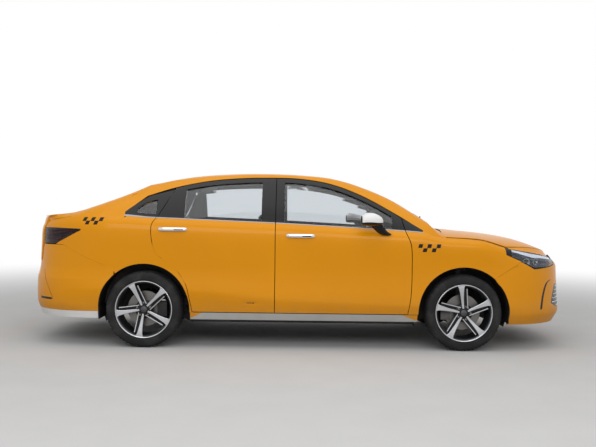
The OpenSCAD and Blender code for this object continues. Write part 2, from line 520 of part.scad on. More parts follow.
// Running gear
rim_in = rim_d / 2 - 13;
flank = tyre_w / 2;
module turned(outline) rotate([90, 0, 0]) rotate_extrude($fn = 96) polygon(outline);
bead = 18;
bead_fit = 0.4;
flange_in = 6;
module tyre_ring() {
  r = tyre_d / 2;
  outline = [[rim_in, bead - flank], [rim_d / 2 + 1, bead - flank], [rim_d / 2 + 4, 5 - flank],
    [r - 48, -flank],
    [r - 20, 4 - flank], [r - 5, 20 - flank], [r, 40 - flank]];
  turned(concat(outline, [for (i = [len(outline) - 1:-1:0]) [outline[i][0], -outline[i][1]]]));
}
hub_d = 150;
hub_y = 84;
spoke_t = 30;
disc_t = 24;
stub_d = 50;
stub_y = 24;
barrel_t = 8;
// Turn of the first spoke of the front and of the rear wheels
spoke_turn = [24, 45];
// Half widths of the broad arm, and of the thin arm behind it, at the hub and at the rim
broad_arm = [11, 23];
thin_arm = [5, 5];
arm_from = 40;
thin_from = [-24, -44];
module arm(w, y0, y1) {
  tip = sqrt(pow(rim_in - 4, 2) - pow(abs(y1) + w[1], 2));
  translate([0, hub_y, 0]) rotate([90, 0, 0]) linear_extrude(spoke_t)
    polygon([[arm_from, y0 - w[0]], [tip, y1 - w[1]], [tip, y1 + w[1]], [arm_from, y0 + w[0]]]);
}
module alloy(turn) difference() {
  union() {
    edge_y = flank - flange_in;
    seat_y = flank - bead + bead_fit;
    turned([[rim_in - barrel_t, -edge_y], [rim_d / 2, -edge_y], [rim_d / 2, -seat_y],
      [rim_in - seat_gap, -seat_y],
      [rim_in - seat_gap, seat_y], [rim_d / 2, seat_y], [rim_d / 2, edge_y], [rim_in - barrel_t, edge_y]]);
    for (i = [0:spokes - 1]) rotate([0, -turn - 360 / spokes * i, 0]) {
      arm(broad_arm, 0, 0);
      arm(thin_arm, thin_from[0], thin_from[1]);
    }
    y_bar(0, 0, -disc_t / 2, hub_y - 8, hub_d);
    y_bar(0, 0, -disc_t / 2, disc_t / 2, disc_d);
  }
  y_bar(0, 0, -60, stub_y + seat_gap, stub_d + 2 * seat_gap);
}
module at_wheel(x, s) translate([x, s * tread_y, axle_z]) mirror([0, s < 0 ? 1 : 0, 0]) children();
ball_y = 700;
ball_z = 200;
mount_y = 570;
mount_z = 820;
lean = atan((ball_y - mount_y) / (mount_z - ball_z));
module along_strut(d, z0, z1, fn = 0)
  translate([x_fa, ball_y, ball_z]) rotate([lean, 0, 0]) translate([0, 0, z0])
  cylinder(d = d, h = z1 - z0, $fn = fn);
strut_top = (mount_z - ball_z) / cos(lean);
module caliper(x, s) translate([x, tread_y, axle_z]) rotate([0, s, 0]) difference() {
  block(105, disc_d / 2 + 34, -40, 34, -62, 62);
  y_bar(0, 0, -disc_t / 2 - 5, disc_t / 2 + 5, disc_d + 14);
}
module upright() {
  y_bar(x_fa, axle_z, tread_y - 105, tread_y - disc_t / 2 - 6, 116);
  y_bar(x_fa, axle_z, tread_y - 60, tread_y + stub_y, stub_d);
  hull() {
    block(x_fa - 36, x_fa + 36, 640, 690, axle_z - 20, axle_z + 40);
    along_strut(58, 210, 300, blend_fn);
  }
  hull() {
    block(x_fa - 36, x_fa + 36, 676, 710, axle_z - 40, axle_z);
    along_strut(44, 4, 20, blend_fn);
  }
  along_strut(48, 250, 470);
  along_strut(124, 468, strut_top - 6);
  along_strut(70, strut_top - 7, strut_top);
  caliper(x_fa, 180);
  block(x_fa - 150, x_fa - 30, tread_y - 60, tread_y - 26, axle_z - 35, axle_z + 35);
}

// Body floor, bulkheads, rails and wheel towers
liner_t = 5;
liner_r = 404;
floor_z = 205;
floor_t = 26;
wall_t = 20;
// The floor ends this far inside the door's inner face
floor_in = 57;
floor_w = half - door_t - floor_in;
boot_w = half - 315;
boot_z = 372;
tunnel_w = 130;
tunnel_h = 110;
tunnel_t = 24;
shelf_z = 1020;
shelf_w = boot_w - 30;
rocker_z = door_z + 24;
wall_x = x_fa - 432;
wall_z = 940;
cowl_z = wall_z - 12;
boot_x = x_ra + 345;
boot_end = x_ra - 850;
post_y = floor_w + 50;
apron_y = 470;
nose_x = x_fa + 700;
pan_x = x_ra + arch_r;
// Cross wall under the tunnel's sides and over the tunnel
module cross_wall(x, w, z1) {
  block(x, x + wall_t, -w, w, floor_z + tunnel_h, z1);
  both() block(x, x + wall_t, tunnel_w, w, floor_z, z1);
}
module floor_body() {
  tunnel_side = tunnel_w + tunnel_t;
  liner_x = x_fa - liner_r - liner_t - seat_gap;
  difference() {
    union() {
      block(pan_x + 10, wall_x + wall_t, -floor_w, floor_w, floor_z, floor_z + floor_t);
      block(boot_x - wall_t, wall_x, -boot_w, boot_w, floor_z, floor_z + floor_t);
      block(boot_x - wall_t, wall_x + wall_t, -tunnel_side, tunnel_side, floor_z,
        floor_z + tunnel_h + tunnel_t);
    }
    block(boot_x - 60, wall_x + 60, -tunnel_w, tunnel_w, floor_z - 1, floor_z + tunnel_h);
  }
  cross_wall(boot_x - wall_t, boot_w, boot_z + wall_t);
  block(boot_end - 30, boot_x, -boot_w, boot_w, boot_z, boot_z + wall_t);
  block(boot_end - 30, boot_end, -boot_w, boot_w, boot_z, lid_low - 26);
  cross_wall(wall_x, floor_w, wall_z);
  block(wall_x, x_fa - 255, -floor_w + 40, floor_w - 40, cowl_z - 28, cowl_z);
  both() {
    block(pan_x + 22, liner_x, floor_w - 40, floor_w + 12, floor_z + 12, rocker_z);
    block(pan_x + 22, liner_x, floor_w, half - 80, floor_z + 20, sill_z - seat_gap);
    block(lead_x(0, 650) + gap - 3, liner_x, floor_w - 30, post_y, 300, wall_z + 6);
    block(boot_x - 50, boot_x - 10, boot_w - 30, boot_w + 60, boot_z, boot_z + wall_t);
    block(x_ra + 300, boot_x - 10, boot_w + 14, boot_w + 56, 330, boot_z + wall_t);
    block(wall_x, nose_x + 30, apron_y - 80, apron_y, 400, 480);
    block(x_fa - 130, x_fa + 130, apron_y - wall_t, apron_y, 470, mount_z - 20);
    difference() {
      hull() {
        along_strut(190, strut_top + seat_gap, strut_top + 26, 32);
        block(x_fa - 130, x_fa + 130, apron_y - wall_t, apron_y, mount_z - 60, mount_z);
      }
      along_strut(230, strut_top - 200, strut_top + seat_gap);
    }
  }
  block(x_ra - 6, x_ra - 6 + wall_t, -shelf_w, shelf_w, boot_z + 10, shelf_z);
  block(back_x - 60, x_ra - 6 + wall_t, -shelf_w, shelf_w, shelf_z - wall_t, shelf_z);
  block(nose_x, nose_x + 30, -apron_y, apron_y, 330, 480);
  block(nose_x, nose_x + 30, -apron_y - 90, apron_y + 90, 470, 700);
}
post_w = 66;
post_t = 48;
post_bend_z = 1000;
module post() {
  low_y = post_y - 78;
  high_y = half - 375;
  top = dlo_z(x_b) + gap - seat_gap;
  x0 = x_b - gap / 2 - post_w / 2;
  x1 = x0 + post_w;
  block(x0, x1, low_y, low_y + post_t, rocker_z + seat_gap, post_bend_z);
  hull() {
    block(x0, x1, low_y, low_y + post_t, post_bend_z - 1, post_bend_z);
    block(x0, x1, high_y, high_y + post_t, top - 1, top);
  }
}
hinge_arm = 20;
module hinge(k, z) {
  hx = hinge_x(k);
  hy = hinge_y(k);
  xe = (k == 0 ? lead_x(0, 650) + gap - 3 : x_b - gap / 2 - post_w / 2) - seat_gap;
  translate([hx, hy, z - 34]) cylinder(d = pin_d, h = 68);
  block(hx - 8, hx + 6, post_y - 60, hy, z - hinge_arm / 2, z + hinge_arm / 2);
  block(hx - 8, xe, post_y - 60, post_y - 42, z - hinge_arm / 2, z + hinge_arm / 2);
}
seat_w = 480;
seat_y = floor_w - 100 - seat_w / 2;
module seat_shape(foot) translate([0, seat_y + seat_w / 2, 0]) rotate([90, 0, 0]) linear_extrude(seat_w)
  polygon([[300, foot], [310, 400], [290, 425], [-60, 395], [-250, 900], [-300, 955], [-345, 950], [-330, 880],
    [-190, 400], [-160, foot]]);
bench_w = boot_w + 10;
module bench() {
  x = boot_x + 30;
  foot = floor_z + tunnel_h + tunnel_t + seat_gap;
  step = boot_z + wall_t + seat_gap;
  translate([0, bench_w, 0]) rotate([90, 0, 0]) linear_extrude(2 * bench_w)
    polygon([[x + 480, foot], [x + 500, 400], [x + 470, 440], [x + 80, 420], [x - 110, 930], [x - 160, 970],
      [x - 200, 950], [x - 70, 420], [x - 40, step], [x, step], [x, foot]]);
}
wheel_at = [st(68.6), seat_y - 30, 845];
wheel_tilt = 66;
grip_d = 370;
grip_t = 30;
module rim_wheel() translate(wheel_at) rotate([0, -wheel_tilt, 0]) {
  rotate_extrude($fn = 64) translate([(grip_d - grip_t) / 2, 0]) circle(d = grip_t, $fn = 24);
  cylinder(d = 120, h = 40, center = true);
  for (a = [60, 180, 300]) rotate([0, 0, a]) translate([0, -17, -8]) cube([grip_d / 2 - 12, 34, 16]);
}
dash_w = floor_w - 60;
module dash() {
  translate([0, dash_w, 0]) rotate([90, 0, 0]) linear_extrude(2 * dash_w)
    polygon([[wall_x - seat_gap, 560], [wall_x - seat_gap, cowl_z - 3], [wall_x - 80, 950], [st(74), 938],
      [st(72.5), 880], [st(73.5), 700], [st(76), 560]]);
  translate(wheel_at) rotate([0, -wheel_tilt, 0]) translate([0, 0, -260]) cylinder(d = 90, h = 240 - seat_gap);
}
module mirror_shape() {
  x = st(75.5);
  z = 1030;
  y = low_side(x, z - 75, 0)[1];
  translate([x, y, z]) {
    hull() for (q = [[-192, 150, 64, 106], [-186, 72, 64, 100], [-78, 142, 58, 88], [-72, 78, 56, 84]])
      translate([q[0], q[1], q[2]]) scale([0.6, 1, 1]) sphere(d = q[3], $fn = 12);
    hull() {
      translate([-90, 75, 18]) cube([80, 60, 24], center = true);
      translate([20, 2 + seat_gap, -62]) cube([84, 4, 26], center = true);
    }
  }
}

// Lid hinges: places across the car, then axis position and height
bonnet_y = 600;
lid_y = 520;
lug_w = 20;
lug_d = 22;
arm_in = 4;
bonnet_axis = [st(90.6), cowl_z + 56];
lid_axis = [lid_x + lug_d, top_z(lid_x + lug_d, lid_y) - 29];
module pin_lug(a, y) y_bar(a[0], a[1], y + lug_w / 2 + seat_gap, y + 3 * lug_w / 2, lug_d, blend_fn);
module lid_pin(a, y, foot) {
  y_bar(a[0], a[1], y - lug_w / 2, y + 3 * lug_w / 2 - 2, pin_d);
  hull() {
    y_bar(a[0], a[1], y - lug_w / 2, y + lug_w / 2, lug_d, blend_fn);
    block(a[0] - 14, a[0] + 14, y - lug_w / 2, y + lug_w / 2, foot, foot + 10);
  }
}
// Arm from a hinge into the underside of a lid at x
module lid_arm(a, y, x) difference() {
  z = top_z(x, y + lug_w) - lid_t + arm_in;
  hull() {
    pin_lug(a, y);
    block(x - 20, x + 20, y + lug_w / 2 + seat_gap, y + 3 * lug_w / 2, z - 4, z);
  }
  y_bar(a[0], a[1], y, y + 2 * lug_w, pin_d + 2 * seat_gap);
}
cowl_w = 0.64;
module cowl() {
  xy = function(u, w) let(x = mix(screen_x + 8, bonnet_rear - 44, u) - screen_bow * pow(w * cowl_w, 2))
    [x, w * cowl_w * half];
  slab(top_grid(steps(2), wide(8), xy, 24),
    [for (u = steps(2)) [for (w = wide(8)) let(q = xy(u, w)) [q[0], q[1], cowl_z + seat_gap]]]);
}
module liner(x, y0, y1, r, z0) difference() {
  y_bar(x, axle_z, y0, y1, 2 * (r + liner_t));
  y_bar(x, axle_z, y0 - 1, y1 + 1, 2 * r);
  block(x - 500, x + 500, y0 - 1, y1 + 1, -tyre_d, z0);
}
paint = "orange";
dark = "#222426";
trim = "white";
steel = "silver";
clear = "#556066";
module front_right_door() color(paint) mirror([0, 1, 0]) door(0);
module front_left_door() color(paint) door(0);
module rear_right_door() color(paint) mirror([0, 1, 0]) door(1);
module rear_left_door() color(paint) door(1);
module front_right_glass() color(clear) mirror([0, 1, 0]) pane(0);
module front_left_glass() color(clear) pane(0);
module rear_right_glass() color(clear) mirror([0, 1, 0]) pane(1);
module rear_left_glass() color(clear) pane(1);
module front_right_handle() color(steel) mirror([0, 1, 0]) handle(0);
module front_left_handle() color(steel) handle(0);
module rear_right_handle() color(steel) mirror([0, 1, 0]) handle(1);
module rear_left_handle() color(steel) handle(1);
module right_mirror() color(trim) mirror([0, 1, 0]) mirror_shape();
module left_mirror() color(trim) mirror_shape();
module side_frames() color(paint) both() side_frame();
module roof_panel() color(paint) roof();
module fixed_glass() color(clear) {
  screen();
  back_glass();
  both() quarter_pane();
}
module bonnet() color(paint) {
  bonnet_skin();
  both() lid_arm(bonnet_axis, bonnet_y, bonnet_rear + 20);
}
module boot_lid() color(paint) {
  lid_skin();
  both() lid_arm(lid_axis, lid_y, lid_x - 60);
}
module front_wings() color(paint) both() {
  wing();
  wing_corner();
}
module front_bumper() color(paint) front_cover();
module grille() color(dark) grille_panel();
module rear_bumper() color(paint) rear_cover();
module lower_trims() color(trim) {
  valance();
  both() sill();
}
module head_lamps() color("gainsboro") both() head_lamp();
module tail_lamps() color("#401014") both() tail_lamp();
module cowl_panel() color(dark) cowl();
module arch_liners() color(dark) both() {
  liner(x_fa, 664, half - 108, liner_r, axle_z - 20);
  liner(x_fa, 664, floor_w + 12, liner_r, sill_z);
  liner(x_ra, boot_w + 10, half - 93, arch_r + gap, axle_z - 20);
  liner(x_ra, boot_w + 10, floor_w + 12, arch_r + gap, sill_z);
}
module floor_pan() color("#5a5d60") floor_body();
module centre_posts() color(dark) both() post();
module hinge_brackets() color(steel) both() {
  for (k = [0, 1], z = hinge_zs) hinge(k, z);
  lid_pin(bonnet_axis, bonnet_y, cowl_z);
  lid_pin(lid_axis, lid_y, shelf_z);
}
module engine_block() color("#6a6e72") block(x_fa - 180, x_fa + 330, -330, 330, 300, 860);
module front_subframe() color("#333537") {
  block(x_fa - 170, x_fa + 170, -apron_y + 40, apron_y - 40, 210, 300);
  both() {
    block(x_fa - 60, x_fa + 60, apron_y - 80, apron_y - 40, 290, 400);
    hull() {
      block(x_fa - 120, x_fa + 120, apron_y - 60, apron_y - 45, 215, 240);
      translate([x_fa, ball_y, ball_z - 28]) cylinder(d = 50, h = 18, $fn = blend_fn);
    }
    along_strut(22, -16, 4 - seat_gap);
  }
}
module right_knuckle() color("#4a4d50") mirror([0, 1, 0]) upright();
module left_knuckle() color("#4a4d50") upright();
module rear_axle() color("#333537") {
  y_bar(x_ra + 150, axle_z - 2.5, -boot_w - 30, boot_w + 30, 70);
  both() {
    hull() {
      y_bar(x_ra + 300, 300, boot_w + 16, boot_w + 54, 60 - 2 * seat_gap, 32);
      y_bar(x_ra, axle_z, boot_w + 16, boot_w + 54, 100, 32);
    }
    y_bar(x_ra, axle_z, boot_w - 30, tread_y - disc_t / 2 - 6, 80);
    y_bar(x_ra, axle_z, tread_y - 30, tread_y + stub_y, stub_d);
    caliper(x_ra, 0);
    block(x_ra + 30, x_ra + 150, tread_y - 60, tread_y - 26, axle_z - 30, axle_z + 30);
  }
}
module exhaust() color("#77797c") {
  translate([x_ra - 560, 0, floor_z + 37]) rotate([0, 90, 0]) cylinder(d = 54, h = wall_x - x_ra + 400);
  block(x_ra - 620, x_ra - 580, -20, 20, 340, boot_z - seat_gap);
  y_bar(x_ra - 600, 268, -260, 260, 180);
}
module front_seats() color("#3a3c3f") both() seat_shape(floor_z + floor_t + seat_gap);
module rear_bench() color("#3a3c3f") bench();
module dashboard() color(dark) dash();
module steering_wheel() color(dark) rim_wheel();
module front_right_tyre() color(dark) at_wheel(x_fa, -1) tyre_ring();
module front_left_tyre() color(dark) at_wheel(x_fa, 1) tyre_ring();
module rear_right_tyre() color(dark) at_wheel(x_ra, -1) tyre_ring();
module rear_left_tyre() color(dark) at_wheel(x_ra, 1) tyre_ring();
module front_right_rim() color(steel) at_wheel(x_fa, -1) alloy(spoke_turn[0]);
module front_left_rim() color(steel) at_wheel(x_fa, 1) alloy(spoke_turn[0]);
module rear_right_rim() color(steel) at_wheel(x_ra, -1) alloy(spoke_turn[1]);
module rear_left_rim() color(steel) at_wheel(x_ra, 1) alloy(spoke_turn[1]);

front_right_door();
front_left_door();
rear_right_door();
rear_left_door();
front_right_glass();
front_left_glass();
rear_right_glass();
rear_left_glass();
front_right_handle();
front_left_handle();
rear_right_handle();
rear_left_handle();
right_mirror();
left_mirror();
side_frames();
roof_panel();
fixed_glass();
bonnet();
boot_lid();
front_wings();
front_bumper();
grille();
rear_bumper();
lower_trims();
head_lamps();
tail_lamps();
cowl_panel();
arch_liners();
floor_pan();
centre_posts();
hinge_brackets();
engine_block();
front_subframe();
right_knuckle();
left_knuckle();
rear_axle();
exhaust();
front_seats();
rear_bench();
dashboard();
steering_wheel();
front_right_tyre();
front_left_tyre();
rear_right_tyre();
rear_left_tyre();
front_right_rim();
front_left_rim();
rear_right_rim();
rear_left_rim();
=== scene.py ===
"""Looks of a saloon taxi: painted skins over the solids, glass, lamps, wheels and cabin. Sizes are in millimetres."""
import json
import math
from functools import partial

import bmesh
import bpy
from mathutils import Matrix, Vector


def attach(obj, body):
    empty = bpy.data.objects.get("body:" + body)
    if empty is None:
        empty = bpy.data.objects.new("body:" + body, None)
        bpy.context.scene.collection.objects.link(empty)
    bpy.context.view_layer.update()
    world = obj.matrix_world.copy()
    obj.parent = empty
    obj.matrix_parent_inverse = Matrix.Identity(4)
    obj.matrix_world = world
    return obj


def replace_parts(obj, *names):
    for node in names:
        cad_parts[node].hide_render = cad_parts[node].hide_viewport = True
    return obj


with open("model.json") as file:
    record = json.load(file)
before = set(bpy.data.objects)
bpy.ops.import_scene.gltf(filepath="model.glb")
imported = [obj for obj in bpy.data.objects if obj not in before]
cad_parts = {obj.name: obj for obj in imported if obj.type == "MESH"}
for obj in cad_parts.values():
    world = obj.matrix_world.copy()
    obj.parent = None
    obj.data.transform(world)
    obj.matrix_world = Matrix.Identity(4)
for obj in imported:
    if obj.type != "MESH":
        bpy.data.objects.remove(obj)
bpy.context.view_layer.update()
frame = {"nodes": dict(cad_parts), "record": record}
MM = 0.001
SIDES = {"right": -1, "left": 1}

# Driving sizes, as in the solids
wheelbase = 2670
front_overhang = 965
rear_overhang = 1060
half = 905
tyre_d = 637
tread_y = 780
arch_r = 383
gap = 8
door_z = 306
sill_z = 240
valance_z = 298
skirt_z = 222
rail_w = 58
glass_t = 5
span = wheelbase + front_overhang + rear_overhang
x_fa = span / 2 - front_overhang
x_ra = x_fa - wheelbase
axle_z = tyre_d / 2
AXLES = {"front": x_fa, "rear": x_ra}

# Skins stand this proud of the solids, and reach this deep into them
LIFT = 2.2
SINK = 1.0
# Depths of what lies on those skins: bright strips, thin overlays, lamp rims, trim
STRIP = {"top": -4.5, "low": 0}
OVERLAY = {"top": -2.9, "low": 1}
LAMP_RIM = {"top": -2.8, "low": 1}
TRIM = {"top": -2.6}

# Roof rail: station, height, inset from the half width
RAIL = [(-90, 1081, 215), (-83.3, 1087, 205), (-58, 1120, 163), (-45.2, 1167, 180), (-29.2, 1225, 205),
        (-12.5, 1296, 243), (2.1, 1367, 273), (9.6, 1411, 297), (25.1, 1452, 310), (36.3, 1462, 310),
        (47.6, 1455, 310), (58.6, 1429, 305), (67, 1366, 277), (77, 1254, 220), (85.2, 1118, 157), (89.3, 1050, 120)]
# Upper edge of the side windows: station, height
DLO = [(-16.1, 1125), (-0.8, 1255), (8.7, 1338), (19.6, 1399), (29.6, 1425), (38.1, 1432), (48.5, 1426),
       (58.6, 1381), (68.7, 1278), (78.8, 1130), (87.3, 992)]
# Waist, where the lower side ends: station, height
WAIST = [(-100, 1030), (-83.3, 1050), (-58, 1085), (-31.1, 1098), (-11.7, 1096), (39.8, 1052), (51.9, 1038),
         (77.4, 1004), (87.3, 985), (89.9, 968), (94.4, 945), (116.1, 922), (136.6, 868), (150.5, 848), (164.5, 830),
         (180.6, 806), (189, 785), (200, 752)]
# Middle line of the top from tail to nose: station, height
SPINE = [(-94, 1083), (-83, 1098), (-59.4, 1125), (-45.3, 1170), (-21.7, 1275), (2.6, 1395), (13.9, 1453),
         (25.1, 1478), (36.3, 1485), (47.6, 1478), (58.8, 1450), (67, 1398), (77.5, 1285), (85, 1172), (91.8, 1050),
         (94, 1014), (100, 998), (132.3, 968), (153.8, 935), (167.7, 895), (180.6, 838), (190.9, 775), (196, 752)]
# Side section at a waist of 1045: height, inset at the doors, at the front end, at the tail
SECTION = [(215, 56, 50, 52), (300, 33, 4, 20), (345, 22, 0, 5), (400, 9, 5, 1), (440, 3, 9, 0), (480, 6, 11, 0),
           (560, 16, 14, 3), (600, 19, 16, 14), (660, 20, 19, 26), (780, 12, 26, 32), (880, 3, 40, 36),
           (945, 2, 52, 38), (985, 10, 62, 42), (1015, 26, 72, 50), (1045, 58, 88, 66)]
SECTION_LOW, SECTION_CREASE, SECTION_MID, SECTION_TOP = 215, 440, 700, 1045
# Crease low on the doors: station, height
CREASE = [(5, 486), (20, 470), (41, 416), (70, 386), (85, 376)]
# Door edges: height, station
FRONT_LEAD = [(300, 82.2), (480, 83.2), (700, 83.4), (880, 83), (985, 81.5), (1110, 80.2)]
REAR_TRAIL = [(300, 15.3), (420, 14.4), (520, 13.5), (600, 11.8), (680, 9.4), (730, 6.8), (765, 4.8), (800, 3.6),
              (900, 2.6), (1000, 2.3), (1050, 2.8), (1094, 4), (1150, 5.2), (1250, 7.2), (1340, 9)]
# Bumper edges at the wings: station, height
BUMPER_REAR = [(-66, 850), (-47, 752), (-24, 652)]
BUMPER_FRONT = [(127, 612), (150.5, 752)]


# Stations: 0 rear axle, 100 front axle, minus 100 tail, 200 nose
def st(s):
    if s < 0:
        return x_ra + s / 100 * rear_overhang
    if s > 100:
        return x_fa + (s - 100) / 100 * front_overhang
    return x_ra + s / 100 * wheelbase


def stn(x):
    if x < x_ra:
        return 100 * (x - x_ra) / rear_overhang
    if x > x_fa:
        return 100 + 100 * (x - x_fa) / front_overhang
    return 100 * (x - x_ra) / wheelbase


def mix(a, b, u):
    return a + (b - a) * u


def ease(a, b, x):
    u = max(0, min(1, (x - a) / (b - a)))
    return u * u * (3 - 2 * u)


def steps(n, low=0, high=1):
    return [mix(low, high, i / n) for i in range(n + 1)]


def circle(n):
    """Cosine and sine at n even places round a circle."""
    return [(math.cos(2 * math.pi * k / n), math.sin(2 * math.pi * k / n)) for k in range(n)]


def row_at(table, x):
    return next((i for i in range(len(table) - 2) if x < table[i + 1][0]), len(table) - 2)


def curve(table, x, c=1):
    """Smooth curve through the rows of a table, column c over column 0."""
    x = max(table[0][0], min(table[-1][0], x))
    i = row_at(table, x)
    a, b = table[i], table[i + 1]
    h = b[0] - a[0]
    u = (x - a[0]) / h
    slope = (b[c] - a[c]) / h
    before = table[i - 1] if i > 0 else None
    after = table[i + 2] if i < len(table) - 2 else None
    ma = (b[c] - before[c]) / (b[0] - before[0]) if before else slope
    mb = (after[c] - a[c]) / (after[0] - a[0]) if after else slope
    return (a[c] * (2 * u ** 3 - 3 * u ** 2 + 1) + b[c] * (3 * u ** 2 - 2 * u ** 3)
            + h * ma * (u ** 3 - 2 * u ** 2 + u) + h * mb * (u ** 3 - u ** 2))


def lines(table, x):
    """Straight lines through the rows of a table."""
    i = row_at(table, x)
    a, b = table[i], table[i + 1]
    return mix(a[1], b[1], max(0, min(1, (x - a[0]) / (b[0] - a[0]))))


# Plan of the widest line by its own length t: equal to x along the doors, then round the corners
x_f1 = x_fa + 100
x_r1 = x_ra - 200
round_f = 2.8
round_r = 3
len_f = 1430
len_r = 1420
t_nose = x_f1 + len_f
t_tail = x_r1 - len_r
bow = 10
bow_half = 1500


def corner(a, b, n, degrees):
    q = math.radians(max(0, min(90, degrees)))
    s = math.sin(q) ** (2 / n)
    c = max(0, math.cos(q)) ** (2 / n)
    slope = Vector((s ** (n - 1) / a, c ** (n - 1) / b)).normalized()
    return a * s, b * c, slope[0], slope[1]


def plan(t):
    """Position, half width and outward direction of the widest line."""
    if t > x_f1:
        x, y, nx, ny = corner(span / 2 - x_f1, half, round_f, 90 * (t - x_f1) / len_f)
        return x_f1 + x, y, nx, ny
    if t < x_r1:
        x, y, nx, ny = corner(x_r1 + span / 2, half, round_r, 90 * (x_r1 - t) / len_r)
        return x_r1 - x, y, -nx, ny
    return t, half, 0, 1


def t_of(x):
    if x > x_f1:
        return x_f1 + len_f / 90 * math.degrees(math.asin(min(1, (x - x_f1) / (span / 2 - x_f1)) ** (round_f / 2)))
    if x < x_r1:
        return x_r1 - len_r / 90 * math.degrees(math.asin(min(1, (x_r1 - x) / (x_r1 + span / 2)) ** (round_r / 2)))
    return x


def t_at_width(y):
    """Length along the front plan that gives the half width y."""
    return x_f1 + len_f / 90 * math.degrees(math.acos((y / half) ** (round_f / 2)))


def belt_z(x):
    return curve(WAIST, stn(x))


def dlo_z(x):
    return curve(DLO, stn(x))


def door_row(z, c):
    """Height in the section table of a height z on doors with a crease at c."""
    if z < c:
        return mix(SECTION_LOW, SECTION_CREASE, (z - SECTION_LOW) / (c - SECTION_LOW))
    return mix(SECTION_CREASE, SECTION_MID, (z - c) / (SECTION_MID - c))


def inset(x, z):
    s = stn(x)
    row = door = mix(SECTION_MID, SECTION_TOP, (z - SECTION_MID) / (belt_z(x) - SECTION_MID))
    if z < SECTION_MID:
        row, door = z, door_row(z, curve(CREASE, s))
    front = mix(curve(SECTION, door, 1), curve(SECTION, row, 2), ease(105, 165, s))
    return mix(front, curve(SECTION, row, 3), ease(25, 75, -s))


def low_side(t, z, d):
    x, y, nx, ny = plan(t)
    n = inset(x, z) + bow * (x * ny / bow_half) ** 2 + d
    return Vector((x - nx * n, y - ny * n, z))


def side(t, z, d=0):
    """Point of the left side at t and height z, a depth d inside the skin."""
    x = plan(t)[0]
    w = belt_z(x)
    if z <= w + 0.01:
        return low_side(t, z, d)
    a = low_side(t, w, d)
    s = stn(x)
    top = curve(RAIL, s)
    yr = half - curve(RAIL, s, 2) - d
    f = min(1, (z - w) / max(1, top - w))
    return Vector((a[0], mix(a[1], min(a[1], yr), 0.7 * f + 0.3 * f ** 3), z))


def edge(x):
    """Half width and height of the top's edge."""
    s = stn(x)
    if s < 89.3:
        return half - curve(RAIL, s, 2), curve(RAIL, s)
    e = low_side(t_of(x), belt_z(x), 0)
    return e[1], e[2]


def top_z(x, y):
    y_edge, z_edge = edge(x)
    c = curve(SPINE, stn(x))
    u = min(1, abs(y) / y_edge)
    return c + (z_edge - c) * (0.45 * u ** 2 + 0.55 * u ** 6)


def rail_y(x):
    return edge(x)[0] - rail_w - 1


def edge_z(table, t, z0):
    return lines(table, stn(side(t, z0)[0]))


# Shader maths

def operator(operation, swapped=False):
    def method(self, other):
        pair = (other, self) if swapped else (self, other)
        return self.finish.node("ShaderNodeMath", {"operation": operation}, dict(enumerate(pair)))
    return method


class Value:
    """A shader socket that takes part in Python sums."""
    __add__ = operator("ADD")
    __radd__ = operator("ADD", True)
    __sub__ = operator("SUBTRACT")
    __rsub__ = operator("SUBTRACT", True)
    __mul__ = operator("MULTIPLY")
    __rmul__ = operator("MULTIPLY", True)
    __truediv__ = operator("DIVIDE")
    __pow__ = operator("POWER")
    __gt__ = operator("GREATER_THAN")
    __lt__ = operator("LESS_THAN")

    def __init__(self, finish, socket):
        self.finish = finish
        self.socket = socket

    def span(self, low, high):
        """0 at low, 1 at high, smooth between."""
        return self.finish.node("ShaderNodeMapRange", {"interpolation_type": "SMOOTHSTEP"},
                                {"Value": self, "From Min": low, "From Max": high})


class Finish:
    """One material: its shader's fixed values, and the nodes that vary it over a surface."""

    def __init__(self, name, slot, **fixed):
        self.material = bpy.data.materials.new(name)
        self.material.use_nodes = True
        self.nodes = self.material.node_tree.nodes
        self.links = self.material.node_tree.links
        self.shader = self.nodes["Principled BSDF"]
        self.slot = slot
        for socket, value in fixed.items():
            self.feed(socket.replace("_", " "), value)

    def put(self, socket, value):
        if isinstance(value, Value):
            self.links.new(value.socket, socket)
        else:
            socket.default_value = value

    def feed(self, socket, value):
        self.put(self.shader.inputs[socket], value)

    def node(self, kind, settings=None, sockets=None, out=0):
        node = self.nodes.new(kind)
        for key, value in (settings or {}).items():
            setattr(node, key, value)
        for key, value in (sockets or {}).items():
            self.put(node.inputs[key], value)
        return Value(self, node.outputs[out])

    def place(self):
        return self.node("ShaderNodeTexCoord", out="Object")

    def axes(self):
        at = self.place()
        return [self.node("ShaderNodeSeparateXYZ", sockets={0: at}, out=i) for i in range(3)]

    def noise(self, scale, detail=3, stretch=(1, 1, 1)):
        at = self.node("ShaderNodeMapping", sockets={"Vector": self.place(), "Scale": stretch})
        return self.node("ShaderNodeTexNoise", sockets={"Vector": at, "Scale": scale, "Detail": detail})

    def blend(self, factor, first, second):
        return self.node("ShaderNodeMix", {"data_type": "RGBA"}, {0: factor, 6: first, 7: second}, out=2)

    def bump(self, height, depth):
        self.feed("Normal", self.node("ShaderNodeBump", sockets={"Distance": depth, "Height": height}))


def rgb(r, g, b):
    """Linear colour from the 0 to 255 values that a screen shows."""
    linear = [c / 255 / 12.92 if c < 11 else ((c / 255 + 0.055) / 1.055) ** 2.4 for c in (r, g, b)]
    return (*linear, 1)


# Finishes
PAINT = rgb(216, 141, 0)
PAINT_SHADE = rgb(206, 133, 0)
clear_coat = 0.18
# Height of the waist over the car's middle, and its fall towards the nose
waist_height = 0.985
waist_fall = 0.0486
seal_start = -1.47


